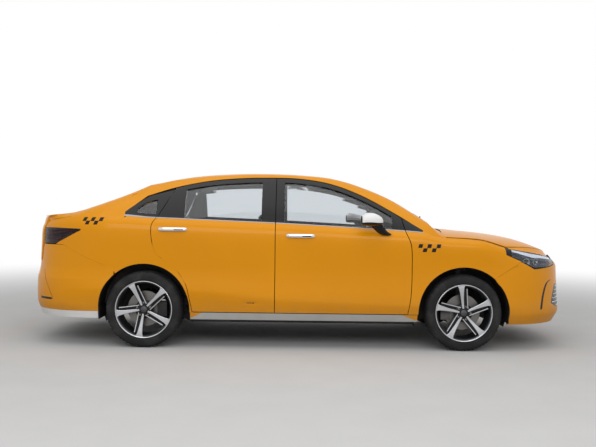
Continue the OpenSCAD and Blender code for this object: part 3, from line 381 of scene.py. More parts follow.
def sprayed(name, slot, colour, shade, dirt):
    """Body paint under clear lacquer: fine orange peel, a little road dust low down."""
    f = Finish(name, slot, Coat_Weight=clear_coat, Coat_Roughness=0.08, Specular_IOR_Level=0.1)
    height = f.axes()[2]
    dust = (1 - height.span(0.24, 0.5)) * f.noise(9, 5) * dirt
    tone = f.blend(f.noise(1.6, 2), colour, shade)
    f.feed("Base Color", f.blend(dust, tone, rgb(120, 106, 84)))
    f.feed("Roughness", f.noise(40, 2) * 0.08 + 0.3 + dust * 0.5)
    f.bump(f.noise(650, 2), 0.00003)
    return f


def chipped_lacquer():
    """The yellow with a scraped dent low on one rear door."""
    f = sprayed("chipped_lacquer", "yellow_paint", PAINT, PAINT_SHADE, 0.4)
    spot = Vector((-391, -900, 386)) * MM
    away = f.node("ShaderNodeVectorMath", {"operation": "SUBTRACT"}, {0: f.place(), 1: spot})
    flat = f.node("ShaderNodeVectorMath", {"operation": "MULTIPLY"}, {0: away, 1: (0.35, 0.2, 1.6)})
    near = f.node("ShaderNodeVectorMath", {"operation": "LENGTH"}, {0: flat}, out="Value")
    scrape = (1 - near.span(0.004, 0.02)) * f.noise(140, 4).span(0.42, 0.56)
    clean = f.shader.inputs["Base Color"].links[0].from_socket
    f.feed("Base Color", f.blend(scrape, Value(f, clean), rgb(70, 52, 30)))
    f.feed("Coat Weight", clear_coat - scrape * clear_coat)
    f.bump(f.noise(650, 2) * 0.02 + (1 - near.span(0.0, 0.035)) * -1.0, 0.003)
    return f


def jamb_paint():
    """Edges of doors and pillars: yellow, with black seals above the waist."""
    f = sprayed("jamb_paint", "yellow_paint", PAINT, PAINT_SHADE, 0.2)
    x, _, z = f.axes()
    sealed = (z + x * waist_fall).span(waist_height - 0.004, waist_height) * x.span(seal_start, seal_start + 0.01)
    clean = f.shader.inputs["Base Color"].links[0].from_socket
    f.feed("Base Color", f.blend(sealed, Value(f, clean), rgb(15, 15, 16)))
    f.feed("Coat Weight", clear_coat - sealed * clear_coat)
    return f


def glossy_black(name="glossy_black", slot="black_trim"):
    f = Finish(name, slot, Specular_IOR_Level=0.3)
    f.feed("Base Color", f.blend(f.noise(4, 3), rgb(9, 9, 10), rgb(15, 15, 16)))
    f.feed("Roughness", f.noise(30, 3) * 0.1 + 0.2)
    f.bump(f.noise(500, 2), 0.00002)
    return f


def grained_plastic(name, slot, colour, pale, grain=900, shine=0.25):
    f = Finish(name, slot, Specular_IOR_Level=shine)
    f.feed("Base Color", f.blend(f.noise(14, 4), colour, pale))
    f.feed("Roughness", f.noise(60, 3) * 0.2 + 0.5)
    f.bump(f.node("ShaderNodeTexVoronoi", sockets={"Vector": f.place(), "Scale": grain}), 0.0002)
    return f


def plated(name, slot):
    f = Finish(name, slot, Metallic=1)
    f.feed("Base Color", f.blend(f.noise(20, 3), rgb(226, 227, 228), rgb(206, 208, 212)))
    f.feed("Roughness", f.noise(70, 4) * 0.1 + 0.05)
    f.bump(f.noise(260, 2), 0.00002)
    return f


def clear_glass(name, slot, tint):
    f = Finish(name, slot, Transmission_Weight=1, IOR=1.45)
    film = f.noise(7, 4) * 0.03
    f.feed("Base Color", f.blend(film, tint, rgb(190, 190, 180)))
    f.feed("Roughness", film)
    f.bump(f.noise(3, 1), 0.0002)
    return f


def rubber():
    """Tyre rubber: greyed by dust in patches, finely ribbed."""
    f = Finish("tyre_rubber", "tyre", Specular_IOR_Level=0.25)
    dust = f.noise(11, 5).span(0.4, 0.75)
    f.feed("Base Color", f.blend(dust, rgb(27, 27, 28), rgb(46, 45, 44)))
    f.feed("Roughness", f.noise(50, 3) * 0.15 + 0.68)
    f.bump(f.noise(400, 4), 0.0004)
    return f


def metal(name, slot, colour, pale, rough, grain, stretch=(1, 1, 1), depth=0.00006):
    """Bare metal with tool marks."""
    f = Finish(name, slot, Metallic=1)
    marks = f.noise(grain, 3, stretch)
    f.feed("Base Color", f.blend(marks, colour, pale))
    f.feed("Roughness", marks * 0.14 + rough)
    f.bump(marks, depth)
    return f


def coated(name, slot, colour, pale, rough=0.55):
    """Stone-chip coating or rough casting."""
    f = Finish(name, slot, Specular_IOR_Level=0.3)
    grime = f.noise(6, 5).span(0.45, 0.7)
    f.feed("Base Color", f.blend(grime, colour, pale))
    f.feed("Roughness", f.noise(35, 3) * 0.2 + rough)
    f.bump(f.noise(160, 4), 0.001)
    return f


def woven(name, slot, colour, pale, thread=520):
    """Seat cloth: crossing threads under a soft sheen."""
    f = Finish(name, slot, Sheen_Weight=0.25, Sheen_Roughness=0.5, Specular_IOR_Level=0.2)
    x, y, z = f.axes()
    weft = f.node("ShaderNodeMath", {"operation": "SINE"}, {0: x * thread * 6.28})
    warp = f.node("ShaderNodeMath", {"operation": "SINE"}, {0: (y + z) * thread * 6.28})
    threads = weft * warp * 0.5 + 0.5
    f.feed("Base Color", f.blend(threads * f.noise(30, 3), colour, pale))
    f.feed("Roughness", f.noise(60, 3) * 0.1 + 0.82)
    f.bump(threads, 0.0004)
    return f


def lamp_lens(name, slot, tint):
    f = Finish(name, slot, Transmission_Weight=1, IOR=1.2)
    film = f.noise(9, 4) * 0.04
    f.feed("Base Color", f.blend(film, tint, rgb(200, 200, 195)))
    f.feed("Roughness", film)
    return f


def light_guide(name, slot, colour, pale, glow=0.0):
    """Frosted bar inside a lamp, finely ribbed."""
    f = Finish(name, slot, Specular_IOR_Level=0.5, Emission_Strength=glow)
    x, y, _ = f.axes()
    ribs = f.node("ShaderNodeMath", {"operation": "SINE"}, {0: (x + y) * 1500}) * 0.5 + 0.5
    tone = f.blend(ribs, colour, pale)
    f.feed("Base Color", tone)
    f.feed("Emission Color", tone)
    f.feed("Roughness", ribs * 0.1 + 0.2)
    f.bump(ribs, 0.0005)
    return f


RUBBER = rubber()
MACHINED = metal("machined_alloy", "alloy", rgb(206, 207, 210), rgb(186, 188, 192), 0.22, 240, (1, 4, 1))
WHEEL_BLACK = glossy_black("wheel_black", "alloy")
CAST_ALLOY = metal("cast_alloy", "alloy", rgb(92, 93, 96), rgb(70, 71, 74), 0.42, 90)
BRAKE_STEEL = metal("brake_steel", "alloy", rgb(128, 127, 125), rgb(98, 95, 92), 0.34, 300)
STEEL = metal("zinc_steel", "steel", rgb(150, 150, 150), rgb(120, 119, 116), 0.4, 70, depth=0.0002)
UNDERBODY = coated("stone_chip_coat", "underbody", rgb(40, 40, 42), rgb(62, 58, 52))
CASTING = coated("rough_casting", "casting", rgb(74, 75, 78), rgb(98, 95, 90), 0.6)
CLOTH = woven("seat_cloth", "seat_fabric", rgb(34, 34, 36), rgb(74, 74, 78))
CLOTH_EDGE = woven("seat_edge_cloth", "seat_fabric", rgb(24, 24, 26), rgb(48, 48, 52), 800)
LENS = lamp_lens("lamp_lens", "lamp_clear", rgb(240, 243, 246))
SMOKE = lamp_lens("smoked_lens", "lamp_red", rgb(176, 160, 168))
LIGHT_WHITE = light_guide("white_light_guide", "lamp_clear", rgb(232, 235, 240), rgb(206, 212, 222), 0.12)
LIGHT_RED = light_guide("red_light_guide", "lamp_red", rgb(150, 16, 14), rgb(96, 6, 6))
SILVERED = metal("silvered_bowl", "lamp_clear", rgb(210, 212, 216), rgb(176, 180, 186), 0.08, 30)
LAMP_DARK = grained_plastic("lamp_housing", "lamp_clear", rgb(74, 78, 86), rgb(98, 102, 110))
LAMP_RED_DARK = grained_plastic("tail_housing", "lamp_red", rgb(62, 58, 66), rgb(86, 80, 88))
CABIN = grained_plastic("cabin_trim", "black_trim", rgb(30, 30, 32), rgb(42, 42, 44), 700)
LINING = woven("roof_lining", "black_trim", rgb(96, 94, 90), rgb(122, 119, 114), 700)
YELLOW = sprayed("yellow_lacquer", "yellow_paint", PAINT, PAINT_SHADE, 0.4)
CHIPPED = chipped_lacquer()
JAMB = jamb_paint()
# Sills: grey where the valance is white, partly grime and partly painted shade under the body's side
SHADED_SILL = sprayed("sill_lacquer_with_painted_shade", "white_trim", rgb(176, 177, 176), rgb(164, 165, 164), 0.35)
SATIN = metal("satin_trim", "chrome", rgb(152, 152, 154), rgb(138, 138, 141), 0.36, 120)
MATT = grained_plastic("matt_cowl", "black_trim", rgb(17, 17, 18), rgb(25, 25, 26), 900, 0.0)
WHITE = sprayed("white_lacquer", "white_trim", rgb(226, 226, 225), rgb(216, 216, 215), 0.3)
GLOSS_BLACK = glossy_black()
BLACK = grained_plastic("grained_black", "black_trim", rgb(22, 22, 23), rgb(34, 34, 35))
CHROME = plated("bright_trim", "chrome")
DECAL = grained_plastic("checker_film", "black_trim", rgb(12, 10, 9), rgb(20, 17, 15), 1500)
PLATE = sprayed("blank_plate", "white_trim", rgb(222, 222, 220), rgb(212, 212, 210), 0.1)
MIRROR = metal("mirror_glass", "chrome", rgb(214, 217, 220), rgb(206, 210, 214), 0.02, 20, depth=0.00001)
GLASS = clear_glass("window_glass", "glass", rgb(226, 230, 233))


# Meshes

def placed(name, data):
    """A new object in the scene."""
    made = bpy.data.objects.new(name, data)
    bpy.context.scene.collection.objects.link(made)
    return made


def add_piece(name, verts, faces, finish, body, angle=40, extra=(), indices=None):
    """A mesh of points in millimetres that rides on a body; extra finishes go by the faces' indices."""
    mesh = bpy.data.meshes.new(name)
    mesh.from_pydata([(p[0] * MM, p[1] * MM, p[2] * MM) for p in verts], [], faces)
    for one in (finish, *extra):
        mesh.materials.append(one.material)
    if indices:
        mesh.polygons.foreach_set("material_index", indices)
    mesh.shade_smooth()
    if angle:
        mesh.set_sharp_from_angle(angle=math.radians(angle))
    piece = placed(name, mesh)
    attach(piece, body)
    return piece


def patch(f, us, vs, top=-LIFT, low=SINK, hand=1):
    """Closed sheet of f(u, v, depth) over lists or counts of steps: outer and inner grid, true outer normals."""
    us, vs = (steps(n) if isinstance(n, int) else n for n in (us, vs))
    e = 0.002
    flip = Vector((1, hand, 1))
    outer, inner, normals = [], [], []
    for v in vs:
        for u in us:
            p = f(u, v, top)
            q = f(u, v, low)
            along = f(u + e, v, top) - f(u - e, v, top)
            up = f(u, v + e, top) - f(u, v - e, top)
            n = along.cross(up)
            n = n.normalized() if n.length > 1e-9 else (p - q).normalized()
            if n.dot(p - q) < 0:
                n.negate()
            outer.append(p * flip)
            inner.append(q * flip)
            normals.append(n * flip)
    return len(vs), len(us), outer, inner, normals


def skin(name, patches, finish, body):
    """One piece from several sheets, shaded by their true normals."""
    verts, faces, shade = [], [], []

    def add(corners, normals=None):
        points = [verts[i] for i in corners]
        one, two, three = (points[i] - points[0] for i in (1, 2, -1))
        n = one.cross(two) + two.cross(three)
        if n.length < 1e-6:
            return
        faces.append(corners)
        shade.extend(normals or [n.normalized()] * len(corners))

    for rows, cols, outer, inner, normals in patches:
        base = len(verts)
        count = rows * cols
        verts.extend(outer + inner)
        first = (outer[1] - outer[0]).cross(outer[cols] - outer[0])
        turn = 1 if first.dot(normals[0]) > 0 else -1
        cells = [(r * cols + c, r * cols + c + 1, (r + 1) * cols + c + 1, (r + 1) * cols + c)
                 for r in range(rows - 1) for c in range(cols - 1)]
        for cell in cells:
            ring = cell[::turn]
            add([base + i for i in ring], [normals[i] for i in ring])
            add([base + count + i for i in cell[::-turn]])
        rim = ([c for c in range(cols)] + [r * cols + cols - 1 for r in range(1, rows)]
               + [(rows - 1) * cols + c for c in range(cols - 2, -1, -1)] + [r * cols for r in range(rows - 2, 0, -1)])
        for a, b in zip(rim, rim[1:] + rim[:1]):
            wall = (base + a, base + count + a, base + count + b, base + b)
            add(list(wall[::turn]))
    piece = add_piece(name, verts, faces, finish, body, angle=None)
    piece.data.normals_split_custom_set(shade)
    return piece


def sheet(name, finish, body, form, us, vs, **depths):
    """One piece from one sheet."""
    return skin(name, [patch(form, us, vs, **depths)], finish, body)


def paired(name, finish, *sheets, **depths):
    """One piece with the same sheets on both sides: each a form, its columns and rows, and depths of its own."""
    made = [patch(form, us, vs, hand=hand, **(depths | dict(*own)))
            for hand in SIDES.values() for form, us, vs, *own in sheets]
    return skin(name, made, finish, "body")


# Doors
x_b = st(41)
pane_s = [(43.6, 77.4), (12.2, 36.4)]
pane_up = 10
pane_top = 36
pane_level = 9


def lead_x(k, z):
    return st(curve(FRONT_LEAD, z)) if k == 0 else x_b - gap


def trail_x(k, z):
    return x_b if k == 0 else st(curve(REAR_TRAIL, z))


lead_top = [1105, dlo_z(x_b - gap)]
trail_top = [dlo_z(x_b), 1340]


def rise(v, low, middle, high):
    return mix(low, middle, v) if v <= 1 else mix(middle, high, v - 1)


def door_x(k, u, v, reach=1.0):
    a = rise(v, door_z, belt_z(trail_x(k, 1050)), trail_top[k])
    b = rise(v, door_z, belt_z(lead_x(k, 1000)), lead_top[k])
    return mix(trail_x(k, a) - reach, lead_x(k, b) + reach, u)


def door_sheet(k, u, v, d):
    x = door_x(k, u, v)
    return side(x, mix(door_z - 1, belt_z(x), v), d)


def band_sheet(k, u, w, d):
    """Frame over a door's window."""
    x = door_x(k, u, 2)
    z = mix(dlo_z(x) - pane_top, dlo_z(x), w)
    x = mix(trail_x(k, min(z, trail_top[k])) - 1, lead_x(k, min(z, lead_top[k])) + 1, u)
    return side(x, mix(dlo_z(x) - pane_top, dlo_z(x), w), d)


def upright_sheet(start, end):
    """Frame beside a door's window, between two lines of the window's side."""
    def f(u, v, d):
        x = mix(start(1200), end(1200), u)
        z = mix(belt_z(x), dlo_z(x) - pane_top, v)
        x = mix(start(z), end(z), u)
        return side(x, mix(belt_z(x), dlo_z(x) - pane_top, v), d)
    return f


def pane_sheet(k, u, v, d):
    x = mix(st(pane_s[k][0]) + 1, st(pane_s[k][1]) - 1, u)
    return side(x, mix(belt_z(x) + pane_up + 1, dlo_z(x) - pane_top - 1, v), d)


def strip_sheet(start, end):
    """Bright strip under the windows."""
    def f(u, v, d):
        x = mix(start, end, u)
        return side(x, belt_z(x) + mix(-2, 5 + 6 * ease(st(4), window_tip, x), v), d)
    return f


def make_doors():
    for hand_name, hand in SIDES.items():
        for k, place in enumerate(AXLES):
            body = f"{place}_{hand_name}_door"
            finish = CHIPPED if body == "rear_right_door" else YELLOW
            sheet(f"{body}_skin", finish, body, partial(door_sheet, k), 36, 44, hand=hand)
            left, right = (st(s) for s in pane_s[k])
            frame_sides = [(lambda z: trail_x(k, z) - 1, lambda z: left), (lambda z: right, lambda z: lead_x(k, z) + 1)]
            sides = [patch(partial(band_sheet, k), 40, 3, hand=hand)]
            sides += [patch(upright_sheet(*ends), 4, 16, hand=hand) for ends in frame_sides]
            skin(f"{body}_window_frame", sides, GLOSS_BLACK, body)
            pane = sheet(f"{body}_pane", GLASS, body, partial(pane_sheet, k), 24, 12,
                         top=pane_level, low=pane_level + glass_t, hand=hand)
            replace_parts(pane, f"{place}_{hand_name}_glass")
            strip = strip_sheet(trail_x(k, 1060) + 1, lead_x(k, 1000) - 1)
            sheet(f"{body}_belt_strip", SATIN, body, strip, 30, 3, hand=hand, **STRIP)


# Fixed side panels
lamp_tip_s = -51
lamp_low_s = -73.5
lamp_low_z = 856
lamp_tip_z = 980
lamp_high_z = 990
LAMP_LIP = [(lamp_low_s, lamp_low_z), (lamp_tip_s, lamp_tip_z - 4)]
LAMP_BROW = [(lamp_low_s, lamp_high_z), (lamp_tip_s, lamp_tip_z + 4)]
quarter_end = st(-84)
window_tip = st(-16.1)
pillar_x = st(89)
rail_round = 24
QUARTER = [(-7, 36, 46), (-3.5, 34, 45), (0, 33, 45), (3.4, 33, 50)]


def trail_edge(z):
    return trail_x(1, z) - gap + 1


def arch_z(x, axle):
    reach = arch_r ** 2 - (x - axle) ** 2
    return axle_z + math.sqrt(reach) if reach > 0 else axle_z


def arch_x(z, axle, way):
    return axle + way * math.sqrt(max(0, arch_r ** 2 - max(0, z - axle_z) ** 2))


def quarter_front(u, v, d):
    """Strip between the rear door and the wheel arch."""
    z = axle_z + arch_r * math.sin(math.radians(mix(-3, 90, v)))
    return side(mix(trail_edge(z), arch_x(z, x_ra, 1), u), z, d)


def quarter_over(u, v, d):
    """Panel between the rear door and the middle of the arch."""
    x = mix(trail_edge(900), x_ra, u)
    for _ in range(2):
        z = mix(axle_z + arch_r, belt_z(x), v)
        x = mix(trail_edge(z), x_ra, u)
    return side(x, z, d)


bumper_end = st(BUMPER_REAR[-1][0])


def quarter_low(t):
    return edge_z(BUMPER_REAR, t, 700)


def quarter_arch(u, v, d):
    """Panel over the rear half of the arch."""
    x = mix(x_ra, bumper_end, u)
    return side(x, mix(arch_z(x, x_ra), belt_z(x), v), d)


def arch_corner(u, v, d):
    """Where the bumper, the quarter and the arch meet."""
    x = bumper_end + mix(-34, 40, u)
    return side(x, mix(arch_z(x, x_ra), 664, v), d)


def quarter_back(u, v, d):
    t = mix(bumper_end, t_of(st(lamp_tip_s)), u)
    return side(t, mix(quarter_low(t), belt_z(plan(t)[0]), v), d)


def quarter_under_lamp(u, v, d):
    t = mix(t_of(st(lamp_tip_s)), t_of(st(lamp_low_s)), u)
    return side(t, mix(quarter_low(t), max(quarter_low(t) + 1, edge_z(LAMP_LIP, t, 900) - 6), v), d)


def quarter_over_lamp(u, v, d):
    t = mix(t_of(st(lamp_tip_s)), lamp_in_t + gap, u)
    return side(t, mix(edge_z(LAMP_BROW, t, 985) + 0.5, belt_z(plan(t)[0]), v), d)


def window_line(x):
    return dlo_z(x) + gap - 1


def rail_sheet(low_edge):
    """Pillars and roof rail above an edge: the side up to v 1, the rounded edge up to 2, then the top."""
    def f(t, v, d):
        x = plan(t)[0]
        y_edge, z_edge = edge(x)
        shoulder = max(low_edge(x) + 1, z_edge - rail_round)
        if v <= 1:
            return side(t, mix(low_edge(x), shoulder, v), d)
        low = side(t, shoulder, d)
        flat_y = y_edge - rail_round * 1.2
        high = Vector((low[0], flat_y, top_z(x, flat_y) - d))
        if v <= 2:
            middle = side(t, z_edge - d, d)
            return low * (2 - v) ** 2 + middle * 2 * (v - 1) * (2 - v) + high * (v - 1) ** 2
        y = mix(flat_y, y_edge - rail_w, v - 2)
        return Vector((low[0], y, top_z(x, y) - d))
    return f


def pillar_foot(u, v, d):
    """Fairing from the front pillar down onto the wing."""
    x = st(mix(93.4, 92, v / 3))
    y = edge(x)[0] - 62 * v / 3
    return rail_sheet(belt_z)(pillar_x, v, d).lerp(Vector((x, y, top_z(x, y) - d)), ease(0, 1, u))


def tail_cap(u, v, d):
    """Corner between the quarter, the tail lamp and the boot lid."""
    t = lamp_in_t + gap
    lid = lid_sheet(1, 1, d) + Vector((0, gap, -4))
    inner = side(t, belt_z(plan(t)[0]), d).lerp(lid, v / 3)
    return rail_sheet(belt_z)(t_of(quarter_end), v, d).lerp(inner, u)


def lid_shut_line_shade(u, v, d):
    """Black line on the flank under the boot lid's edge: painted shade of the lid's shut line."""
    t = mix(t_of(-2148), -1850, u)
    return rail_sheet(belt_z)(t, mix(0.5, 0.97, u) + mix(-0.1, 0.1, v) * (1 - 0.6 * u), d)


def tail_shoulder(u, v, d):
    """Strip of the quarter beside the boot lid's deck."""
    x = mix(quarter_end, lid_x, u)
    r = (lid_x - x) / (lid_x - tail_x(640, 1040))
    y = mix(edge(x)[0] - rail_w + 2, lid_reach(x, r) + gap, v)
    return Vector((x, y, top_z(x, y) - d - 1))


def corner_sheet(u, v, d):
    """Black corner ahead of the front door's window."""
    x = mix(lead_x(0, 1050) + gap - 1, st(87), u)
    z = mix(belt_z(x) + 2, window_line(x), v)
    return side(mix(lead_x(0, z) + gap - 1, st(87), u), z, d)


def quarter_frame(low, high):
    """Black frame of the quarter window between two edges."""
    def f(u, v, d):
        x = mix(window_tip, trail_edge(1180), u)
        z = mix(low(x), high(x), v)
        return side(mix(window_tip, trail_edge(z), u), z, d)
    return f


def quarter_edge(x, upper):
    s = stn(x)
    rows = [(q[0], q[2] if upper else q[1]) for q in QUARTER]
    return dlo_z(x) - lines(rows, s) if upper else belt_z(x) + lines(rows, s)


def quarter_pane(u, v, d):
    x = mix(st(QUARTER[0][0]), st(QUARTER[-1][0]), u)
    return side(x, mix(quarter_edge(x, False), quarter_edge(x, True), v), d)


def quarter_front_bar(u, v, d):
    """Black bar between the quarter window and the rear door."""
    start = st(QUARTER[-1][0])
    x = mix(start, trail_edge(1180), u)
    z = mix(quarter_edge(x, False), quarter_edge(x, True), v)
    return side(mix(start, trail_edge(z), u), z, d)


def quarter_tip(u, v, d):
    """Black corner behind the quarter window."""
    x = mix(window_tip, st(QUARTER[0][0]), u)
    low = mix(belt_z(x), quarter_edge(st(QUARTER[0][0]), False), u)
    high = mix(dlo_z(x), quarter_edge(st(QUARTER[0][0]), True), u)
    return side(x, mix(min(low, high - 1), high, v), d)


def make_side_frames():
    tail = steps(36, t_of(quarter_end), x_r1 - 8) + steps(16, x_r1, window_tip)
    cabin = steps(40, window_tip, st(12)) + steps(50, st(13), pillar_x)
    foot = steps(4, st(87), pillar_x)
    rows = steps(8) + steps(6, 1.1, 2) + steps(2, 2.4, 3)
    paired("side_panels", YELLOW, (quarter_front, 5, 30), (quarter_over, 8, 24), (quarter_arch, 14, 24),
           (quarter_back, 24, 24), (arch_corner, 8, 6, {"top": -2.7}), (quarter_under_lamp, 10, 6),
           (quarter_over_lamp, 20, 4), (rail_sheet(belt_z), tail, rows), (rail_sheet(window_line), cabin, rows),
           (rail_sheet(belt_z), foot, rows), (pillar_foot, 8, rows), (tail_cap, 8, rows), (tail_shoulder, 16, 3))
    low_edge, high_edge = (partial(quarter_edge, upper=upper) for upper in (False, True))
    # The last sheet here, the line under the boot lid, is painted shade of its shut line
    paired("pillar_black", GLOSS_BLACK, (corner_sheet, 8, 10), (quarter_frame(belt_z, low_edge), 24, 2),
           (quarter_frame(high_edge, window_line), 24, 3), (quarter_front_bar, 3, 10), (quarter_tip, 8, 6),
           (lid_shut_line_shade, 20, 2, TRIM))
    paired("fixed_belt_strips", SATIN, (strip_sheet(window_tip, trail_edge(1094)), 12, 3),
           (strip_sheet(lead_x(0, 1000) + gap - 1, st(87)), 8, 3), **STRIP)


# Wings and bumpers
head_tip_s = 136.6
head_tip_z = 842
lamp_in_t = x_r1 - 844
head_in_t = x_f1 + 915
HEAD_LIP = [(head_tip_s, head_tip_z - 32), (150.5, 752)]
TAIL_TOP = [(t_tail, 697), (lamp_in_t - 60, 698), (lamp_in_t, 846), (t_of(st(-66)), 847)]
NOSE_TOP = [(t_of(st(150.5)), 750), (t_of(st(164.3)), 684), (t_of(st(180.5)), 698), (head_in_t, 715),
            (head_in_t + 60, 738), (t_nose, 744)]
grille_y = 470
grille_low = 340
grille_high = 585
GRILLE_EDGE = [(grille_low, grille_y - 90), (grille_high - 90, grille_y), (grille_high, grille_y - 40)]


def rear_top(t):
    return lines(TAIL_TOP, t) if t < t_of(st(-66)) - 1 else edge_z(BUMPER_REAR, t, 700) - 1


def front_top(t):
    return lines(NOSE_TOP, t) if t > t_of(st(150.5)) + 1 else edge_z(BUMPER_FRONT, t, 680) - 2


corner_in = 205


def wing_corner(u, w, d):
    """Corner between the pillar, the cowl and the bonnet."""
    x0 = st(89.6)
    y = edge(x0)[0] - w * corner_in
    x1 = bonnet_rear - screen_bow * min(1, y / (half - 82)) ** 2 - gap
    x = mix(x0, x1, u)
    y = edge(x)[0] - w * corner_in
    return Vector((x, y, top_z(x, y) - d))


def wing_back(u, v, d):
    x = mix(lead_x(0, 650) + gap - 1, x_fa - arch_r, u)
    z = mix(door_z - 4, belt_z(x), v)
    return side(mix(lead_x(0, z) + gap - 1, x_fa - arch_r, u), z, d)


def wing_over(u, v, d):
    """Wing over the arch, up to the bumper's edge."""
    last = math.degrees(math.acos((st(BUMPER_FRONT[0][0]) - x_fa) / arch_r))
    turn = math.radians(mix(180, last, u))
    x = x_fa + arch_r * math.cos(turn)
    t = t_of(x)
    return side(t, mix(axle_z + arch_r * math.sin(turn), belt_z(x), v), d)


def wing_front(u, v, d):
    t = mix(t_of(st(127)), t_of(st(head_tip_s)), u)
    return side(t, mix(edge_z(BUMPER_FRONT, t, 680), belt_z(plan(t)[0]), v), d)


def lamp_corner(t, v, d):
    """Bumper's point below the headlamp."""
    return side(t, front_top(t) - mix(84, 0.5, v), d)


def wing_under_lamp(u, v, d):
    t = mix(t_of(st(head_tip_s)), t_of(st(150.5)), u)
    low = edge_z(BUMPER_FRONT, t, 680)
    return side(t, mix(low, max(low + 1, edge_z(HEAD_LIP, t, 800) - 4), v), d)


def front_cheek(u, v, d):
    """Bumper between the arch and the grille."""
    t = mix(t_of(x_fa + arch_r), t_at_width(grille_y), u)
    for _ in range(3):
        z = mix(skirt_z, front_top(t), v)
        t = mix(t_of(arch_x(z, x_fa, 1)), t_at_width(lines(GRILLE_EDGE, z)), u)
    return side(t, mix(skirt_z, front_top(t), v), d)


def grille_band(low, high):
    """Bumper above or below the grille, from its edge to the middle."""
    def f(u, v, d):
        t = mix(t_at_width(grille_y), t_nose, u)
        for _ in range(2):
            z = mix(low(t), high(t), v)
            t = mix(t_at_width(lines(GRILLE_EDGE, z)), t_nose, u)
        return side(t, z, d)
    return f


def rear_cheek(u, v, d):
    t = mix(t_of(x_ra - arch_r), t_tail, u)
    for _ in range(3):
        z = mix(valance_z + 1, rear_top(t), v)
        t = mix(t_of(min(arch_x(z, x_ra, -1), bumper_end + 3)), t_tail, u)
    return side(t, mix(valance_z + 1, rear_top(t), v), d)


def valance_sheet(u, v, d):
    return side(mix(t_of(x_ra - arch_r - 4), t_tail, u), mix(sill_z, valance_z, v), d)


def sill_sheet(u, v, d):
    return side(mix(x_ra + arch_r + 4, x_fa - arch_r - 6, u), mix(sill_z, door_z - gap, v), d)


# Yellow ends over the white sills: where the slope ends and starts
SILL_ENDS = [(993, 862), (-900, -798)]
sill_end_low = 248


def sill_end(start, end):
    def f(u, v, d):
        x = mix(start, end, u)
        return side(x, mix(mix(sill_end_low, door_z - gap, u), door_z - gap, v), d)
    return f


lip_deep = 66


def arch_lip(axle):
    """Dark return round the inside of an arch."""
    def f(u, v, d):
        turn = math.radians(mix(-2, 182, u))
        r = arch_r - 1.2 - d
        x = axle + r * math.cos(turn)
        z = axle_z + r * math.sin(turn)
        return side(t_of(x), z, mix(-LIFT, lip_deep, v))
    return f


def make_ends():
    over = grille_band(lambda t: grille_high, front_top)
    under = grille_band(lambda t: skirt_z, lambda t: grille_low)
    peak = t_of(st(150.5)) + 1
    tip = steps(8, peak - 36, peak) + steps(8, peak + 0.5, peak + 60)
    for place, axle in AXLES.items():
        paired(f"{place}_arch_lips", BLACK, (arch_lip(axle), 60, 3), top=0, low=1.5)
    paired("wing_skins", YELLOW, (wing_back, 4, 36), (wing_over, 40, 28), (wing_front, 8, 20), (wing_under_lamp, 8, 8),
           (wing_corner, 8, 6))
    paired("front_bumper_skin", YELLOW, (front_cheek, 60, 40), (lamp_corner, tip, 8, {"top": -3}), (over, 20, 12),
           (under, 20, 10))
    paired("rear_bumper_skin", YELLOW, (rear_cheek, 60, 40))
    paired("valance_skin", WHITE, (valance_sheet, 40, 6))
    # The sills' grey is painted shade as well as grime
    paired("sill_skins", SHADED_SILL, (sill_sheet, 30, 8))
    paired("sill_ends", YELLOW, *[(sill_end(*ends), 8, 4) for ends in SILL_ENDS], top=-2.9)


# Roof, lids and screens
head_x = st(58.8)
tail_head_x = st(12.4)
screen_x = st(90.3)
back_x = st(-52)
screen_bow = 75
glass_gap = 3
# Depth of the screens' outer faces below the skin line
screen_level = 2
back_level = -0.5
bonnet_rear = st(97.4) - 45
NOSE_LINE = [(0, st(190.5)), (0.4, st(188.5)), (0.7, st(181)), (0.86, st(168)), (1, st(136.6))]
lid_x = back_x - 42
lid_low = 706
lid_face_top = 1062


def on_top(xy):
    def f(u, w, d):
        x, y = xy(u, w)
        return Vector((x, y, top_z(x, y) - d))
    return f


def roof_xy(u, w):
    x = mix(tail_head_x + 1, head_x - 1, u)
    return x, w * rail_y(x)


def screen_xy(u, w):
    x = mix(head_x, screen_x, u) - screen_bow * u * w * w
    return x, w * (rail_y(x) - glass_gap)


def back_glass_xy(u, w):
    x = mix(back_x, tail_head_x, u)
    return x, w * (rail_y(x) - glass_gap)


def bonnet_xy(u, w):
    x = mix(bonnet_rear - screen_bow * w * w, curve(NOSE_LINE, abs(w)), u)
    reach = edge(max(x, st(90)))[0] - gap + 1
    return x, w * min(reach, mix(half - 81, half - 111, ease(0, 1, u)))


def tail_x(y, z):
    deep = (1 - (abs(y) / half) ** round_r) ** (1 / round_r)
    return x_r1 - (x_r1 + span / 2) * deep + inset(-span / 2, z)


def lid_reach(x, r):
    """Half width of the boot lid's deck, a share r of the way to its rear edge."""
    return rail_y(x) - gap - 3 - 22 * ease(0.1, 0.6, r)


def lid_sheet(w, r, d):
    """Boot lid: the deck up to r 1, then the upright face."""
    if r <= 1:
        rear = tail_x(w * 640, 1040)
        x = mix(lid_x, rear + d, r)
        y = w * lid_reach(x, r)
        return Vector((x, y, top_z(max(x, st(-90)), y) - d - 10 * ease(0.9, 1, r)))
    v = r - 1
    y = w * mix(622, 580, v)
    z = mix(lid_face_top, lid_low, v)
    return Vector((tail_x(y, z) + d, y, z))


def framed(xy, level, top, bottom, sides):
    """Dark border printed on a screen: strips along its four edges, given as shares of it."""
    across, along = steps(44, -1, 1), steps(40, top, 1 - bottom)
    places = [(steps(3, 0, top), across), (steps(4, 1 - bottom, 1), across),
              (along, steps(2, -1, -1 + sides)), (along, steps(2, 1 - sides, 1))]
    return [patch(on_top(xy), us, ws, top=level - 0.8, low=level - 0.1) for us, ws in places]


